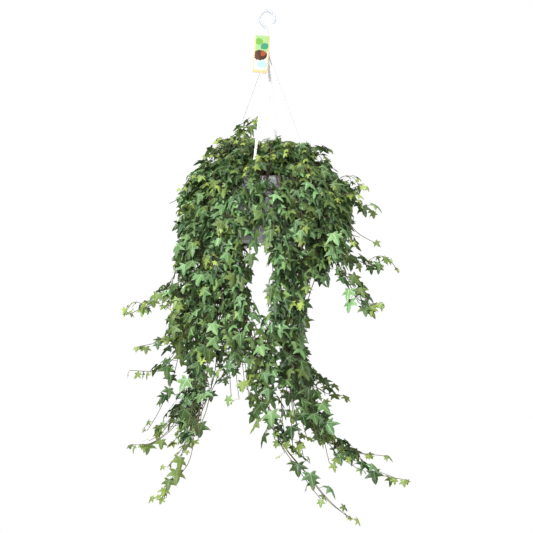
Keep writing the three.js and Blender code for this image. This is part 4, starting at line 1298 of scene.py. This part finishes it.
class IVY_OT_pot(bpy.types.Operator):
    """Builds the pot with its rolled rim, and the saucer round its foot"""

    bl_idname = "ivy.pot"
    bl_label = "Pot and saucer"

    def execute(self, context):
        pot = context.scene.ivy_pot
        floor = POT_BOTTOM_Z + WALL
        under_rim = RIM_Z - RIM_DEPTH
        profile = [
            (0, POT_BOTTOM_Z),
            (FOOT_RADIUS - 1, POT_BOTTOM_Z),
            on_wall(POT_BOTTOM_Z + 4),
            on_wall(-560),
            on_wall(BAND_BOTTOM_Z),
            on_wall(BAND_BOTTOM_Z + 2, BAND_SWELL),
            on_wall(BAND_TOP_Z - 2, BAND_SWELL),
            on_wall(BAND_TOP_Z),
            on_wall(under_rim),
            (RIM_RADIUS - 1.2, under_rim),
            (RIM_RADIUS, RIM_Z - 3),
            (RIM_RADIUS - 1.6, RIM_Z),
            (WALL_TOP_RADIUS - WALL + 1.0, RIM_Z),
            (WALL_TOP_RADIUS - WALL, RIM_Z - 2),
            on_wall(floor, -WALL),
            (0, floor),
        ]
        skin = Skin()
        skin.add(*revolved(softened(profile, 1.4), SIDES))
        piece = skin.piece("pot_body", [plastic_material("white pot plastic", pot.pot_colour, 0.38)])
        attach(piece, BODY)
        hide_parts("pot")
        tray = POT_BOTTOM_Z - 0.3
        profile = [
            (0, SAUCER_BOTTOM_Z + 1),
            (SAUCER_HOLLOW_RADIUS, SAUCER_BOTTOM_Z + 1),
            (SAUCER_HOLLOW_RADIUS + 2, SAUCER_BOTTOM_Z),
            (SAUCER_FLOOR_RADIUS, SAUCER_BOTTOM_Z),
            (SAUCER_RADIUS - 2, SAUCER_BOTTOM_Z + 8),
            (SAUCER_RADIUS - 1, SAUCER_TOP_Z - 5),
            (SAUCER_RADIUS, SAUCER_TOP_Z - 4),
            (SAUCER_RADIUS, SAUCER_TOP_Z),
            (SAUCER_RADIUS - 2.6, SAUCER_TOP_Z),
            on_wall(SAUCER_TOP_Z - 2, 0.6),
            (SAUCER_RADIUS - 2.8, SAUCER_TOP_Z - 4),
            (SAUCER_RADIUS - 4.2, SAUCER_BOTTOM_Z + 9),
            (SAUCER_FLOOR_RADIUS, tray),
            (0, tray),
        ]
        skin = Skin()
        skin.add(*revolved(softened(profile, 1.2), SIDES))
        piece = skin.piece("saucer_body", [plastic_material("white saucer plastic", pot.pot_colour, 0.36)])
        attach(piece, BODY)
        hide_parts("saucer")
        return {"FINISHED"}


class IVY_OT_soil(bpy.types.Operator):
    """Builds the potting mix: a low dome whose lumps are sums and products of sine waves"""

    bl_idname = "ivy.soil"
    bl_label = "Potting mix"

    def execute(self, context):
        bottom = POT_BOTTOM_Z + WALL + 0.3
        inset = WALL + 0.6
        radii = np.linspace(on_wall(SOIL_EDGE_Z, -inset)[0], 4, 30)
        tops = SOIL_EDGE_Z + (SOIL_Z - SOIL_EDGE_Z) * smoothstep(-radii, -125, -60)
        surface = np.stack([radii, tops], axis=1)
        points, faces = revolved([(0, bottom), on_wall(bottom, -inset), *surface, (0, SOIL_Z)], 84)
        top = points[:, 2] > SOIL_EDGE_Z - 1
        x, y = points[:, 0], points[:, 1]
        lumps = 1.3 * np.sin(0.23 * x + 1.7) * np.sin(0.19 * y + 0.4)
        lumps += 0.8 * np.sin(0.61 * x - 0.37 * y) + 0.6 * np.sin(0.93 * y + 0.71 * x)
        points[:, 2] += np.where(top, lumps, 0.0)
        skin = Skin()
        skin.add(points, faces)
        piece = skin.piece("potting_mix", [soil_material(context.scene.ivy_pot)])
        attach(piece, BODY)
        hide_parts("soil")
        return {"FINISHED"}


class IVY_OT_hanger(bpy.types.Operator):
    """Builds the moulded hanger: hook, flat stem, hub, four straps and their rim clips"""

    bl_idname = "ivy.hanger"
    bl_label = "Hanger"

    def execute(self, context):
        pot = context.scene.ivy_pot
        skin = Skin()
        turn = np.radians(np.linspace(*HOOK_ARC, 46))
        arc = np.stack([
            HOOK_RADIUS * np.cos(turn), np.zeros(len(turn)), HOOK_RADIUS * np.sin(turn) + HOOK_CENTRE_Z,
        ], axis=1)
        shank = curve_through([arc[-1], *SHANK_POINTS], 6)
        path = np.vstack([arc, shank[1:]])
        skin.add(*carried(*stations(path), [0.0, 1.0, 0.0], rounded_box(*HOOK_SECTION)))
        hub = softened([
            (0, HUB_BOTTOM_Z), (HUB_RADIUS - 2, HUB_BOTTOM_Z), (HUB_RADIUS, HUB_BOTTOM_Z + 3),
            (HUB_RADIUS, HUB_TOP_Z - 5), (HUB_RADIUS - 2.5, HUB_TOP_Z), (0, HUB_TOP_Z),
        ], 1.2)
        skin.add(*revolved(hub, 40))
        for azimuth in STRAP_AZIMUTHS:
            self.strap(skin, azimuth)
        # One white plastic, with a painted shade in grey on the hook and stem above the hub
        piece = skin.piece("hanger_moulding", [
            plastic_material("white hanger plastic", pot.hanger_colour, 0.34, 0.8, pot.hook_painted_shade)])
        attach(piece, BODY)
        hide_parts("hanger")
        return {"FINISHED"}

    def strap(self, skin, azimuth):
        """A strap from the hub to the rim, then over it and down outside as a clip, with a lip inside
        the rim. It is carried along straight and curved stretches, and widens to the clip."""
        radii = (5.0, RIM_RADIUS - 4.0, RIM_RADIUS - 0.5, RIM_RADIUS + 1.9, RIM_RADIUS + 1.9)
        heights = (HUB_BOTTOM_Z + 7, RIM_Z + 7.0, RIM_Z + 2.2, RIM_Z - 2.0, RIM_Z - 15.0)
        corners = [polar(azimuth, radius, z) for radius, z in zip(radii, heights)]
        path = np.vstack([corners[0] + (corners[1] - corners[0]) * t for t in np.linspace(0, 0.97, 12)])
        path = np.vstack([path, curve_through(corners[1:], 5)])
        side = polar(azimuth + 90, 1.0, 0.0)
        wide = smoothstep(-path[:, 2], -(RIM_Z + 22), -(RIM_Z + 8))
        widths = STRAP_WIDTH + (CLIP_WIDTH - STRAP_WIDTH) * wide
        sizes = np.stack([widths, STRAP_THICKNESS + 0.4 * wide], axis=1)
        section = rounded_box(1.0, 1.0, 0.22) * sizes[:, None, :]
        skin.add(*carried(*stations(path), side, section))
        inner = (WALL_TOP_RADIUS - WALL) - 3.2
        radii = (RIM_RADIUS - 0.5, inner + 2.0, inner, inner)
        heights = (RIM_Z + 2.0, RIM_Z + 2.0, RIM_Z - 0.5, RIM_Z - 7.0)
        lip = curve_through([polar(azimuth, radius, z) for radius, z in zip(radii, heights)], 5)
        skin.add(*carried(*stations(lip), side, rounded_box(CLIP_WIDTH, STRAP_THICKNESS, 0.7)))


class IVY_OT_label(bpy.types.Operator):
    """Builds the printed plant label, whose card bows with the squared distance from its middle, and
    the eye that holds it on the stem"""

    bl_idname = "ivy.label"
    bl_label = "Plant label"

    def execute(self, context):
        thick = context.scene.ivy_pot.label_thickness / MM
        outline = rounded_box(LABEL_WIDTH, LABEL_HEIGHT, 4.0, 6) + [0, -LABEL_HEIGHT / 2]
        count = len(outline)
        inset = outline * [1 - 0.7 / LABEL_WIDTH, 1.0]
        layers = ((inset, 0.0), (outline, 0.25 * thick), (outline, 0.75 * thick), (inset, thick))
        across, upwards = np.vstack([edge for edge, _ in layers]).T
        depth = np.repeat([height for _, height in layers], count)
        card = np.stack([across, depth - LABEL_BOW * (across**2 - 200), upwards], axis=1)
        walls = tube_walls(len(layers), count)[:, [0, 3, 2, 1]]
        front = np.arange(count)[None, :]
        back = front[:, ::-1] + 3 * count
        uv = np.stack([across / LABEL_WIDTH + 0.5, upwards / LABEL_HEIGHT + 1.0], axis=1)
        card = card @ turned(Y_AXIS, LABEL_TILT) @ turned(X_AXIS, LABEL_LEAN) + LABEL_PLACE
        skin = Skin()
        skin.add(card, [(walls, 0), (front, 0), (back, 0)], uv)
        eye = np.array(EYE_CORNERS)
        path = np.vstack([eye[:1] + [0, -2.0, 0], softened(eye, 1.2, 4), eye[-1:] + [0, -2.0, 0]])
        skin.add(*carried(*stations(path), UP, rounded_box(6.0, thick, 0.3)), (0.02, 0.02))
        piece = skin.piece("plant_label", [label_material()])
        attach(piece, BODY)
        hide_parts("tag")
        return {"FINISHED"}


class IVY_OT_shoots(bpy.types.Operator):
    """Grows the leafy shoots: the dome, the shoots over the rim and the two trailing tails"""

    bl_idname = "ivy.shoots"
    bl_label = "Ivy shoots"

    def execute(self, context):
        ivy = context.scene.ivy_plant
        materials = [stem_material(ivy), blade_material(ivy), underside_material(ivy)]
        for number in range(len(DOME_SHOOTS) + 1 + len(TRAILING_SHOOTS)):
            make_shoot(number, ivy, materials)
        return {"FINISHED"}


class IVY_PT_panel(bpy.types.Panel):
    """Lists the settings and the steps that build the potted ivy"""

    bl_idname = "IVY_PT_panel"
    bl_label = "Potted Ivy"
    bl_space_type = "VIEW_3D"
    bl_region_type = "UI"
    bl_category = "Ivy"

    def draw(self, context):
        layout = self.layout
        for group in (context.scene.ivy_plant, context.scene.ivy_pot, context.scene.ivy_stage):
            box = layout.box()
            for name in group.__annotations__:
                box.prop(group, name)
        for step in STEPS:
            layout.operator(step.bl_idname)


STEPS = (IVY_OT_camera, IVY_OT_stage, IVY_OT_pot, IVY_OT_soil, IVY_OT_hanger, IVY_OT_label, IVY_OT_shoots)
GROUPS = {"ivy_plant": IvySettings, "ivy_pot": PotSettings, "ivy_stage": StageSettings}


def register():
    for cls in (*GROUPS.values(), *STEPS, IVY_PT_panel):
        bpy.utils.register_class(cls)
    for name, cls in GROUPS.items():
        setattr(bpy.types.Scene, name, bpy.props.PointerProperty(type=cls))


def unregister():
    for name in GROUPS:
        delattr(bpy.types.Scene, name)
    for cls in (IVY_PT_panel, *reversed(STEPS), *reversed(tuple(GROUPS.values()))):
        bpy.utils.unregister_class(cls)


def main():
    register()
    bpy.ops.ivy.camera()
    bpy.ops.ivy.stage()
    bpy.ops.ivy.pot()
    bpy.ops.ivy.soil()
    bpy.ops.ivy.hanger()
    bpy.ops.ivy.label()
    bpy.ops.ivy.shoots()


if __name__ == "__main__":
    main()
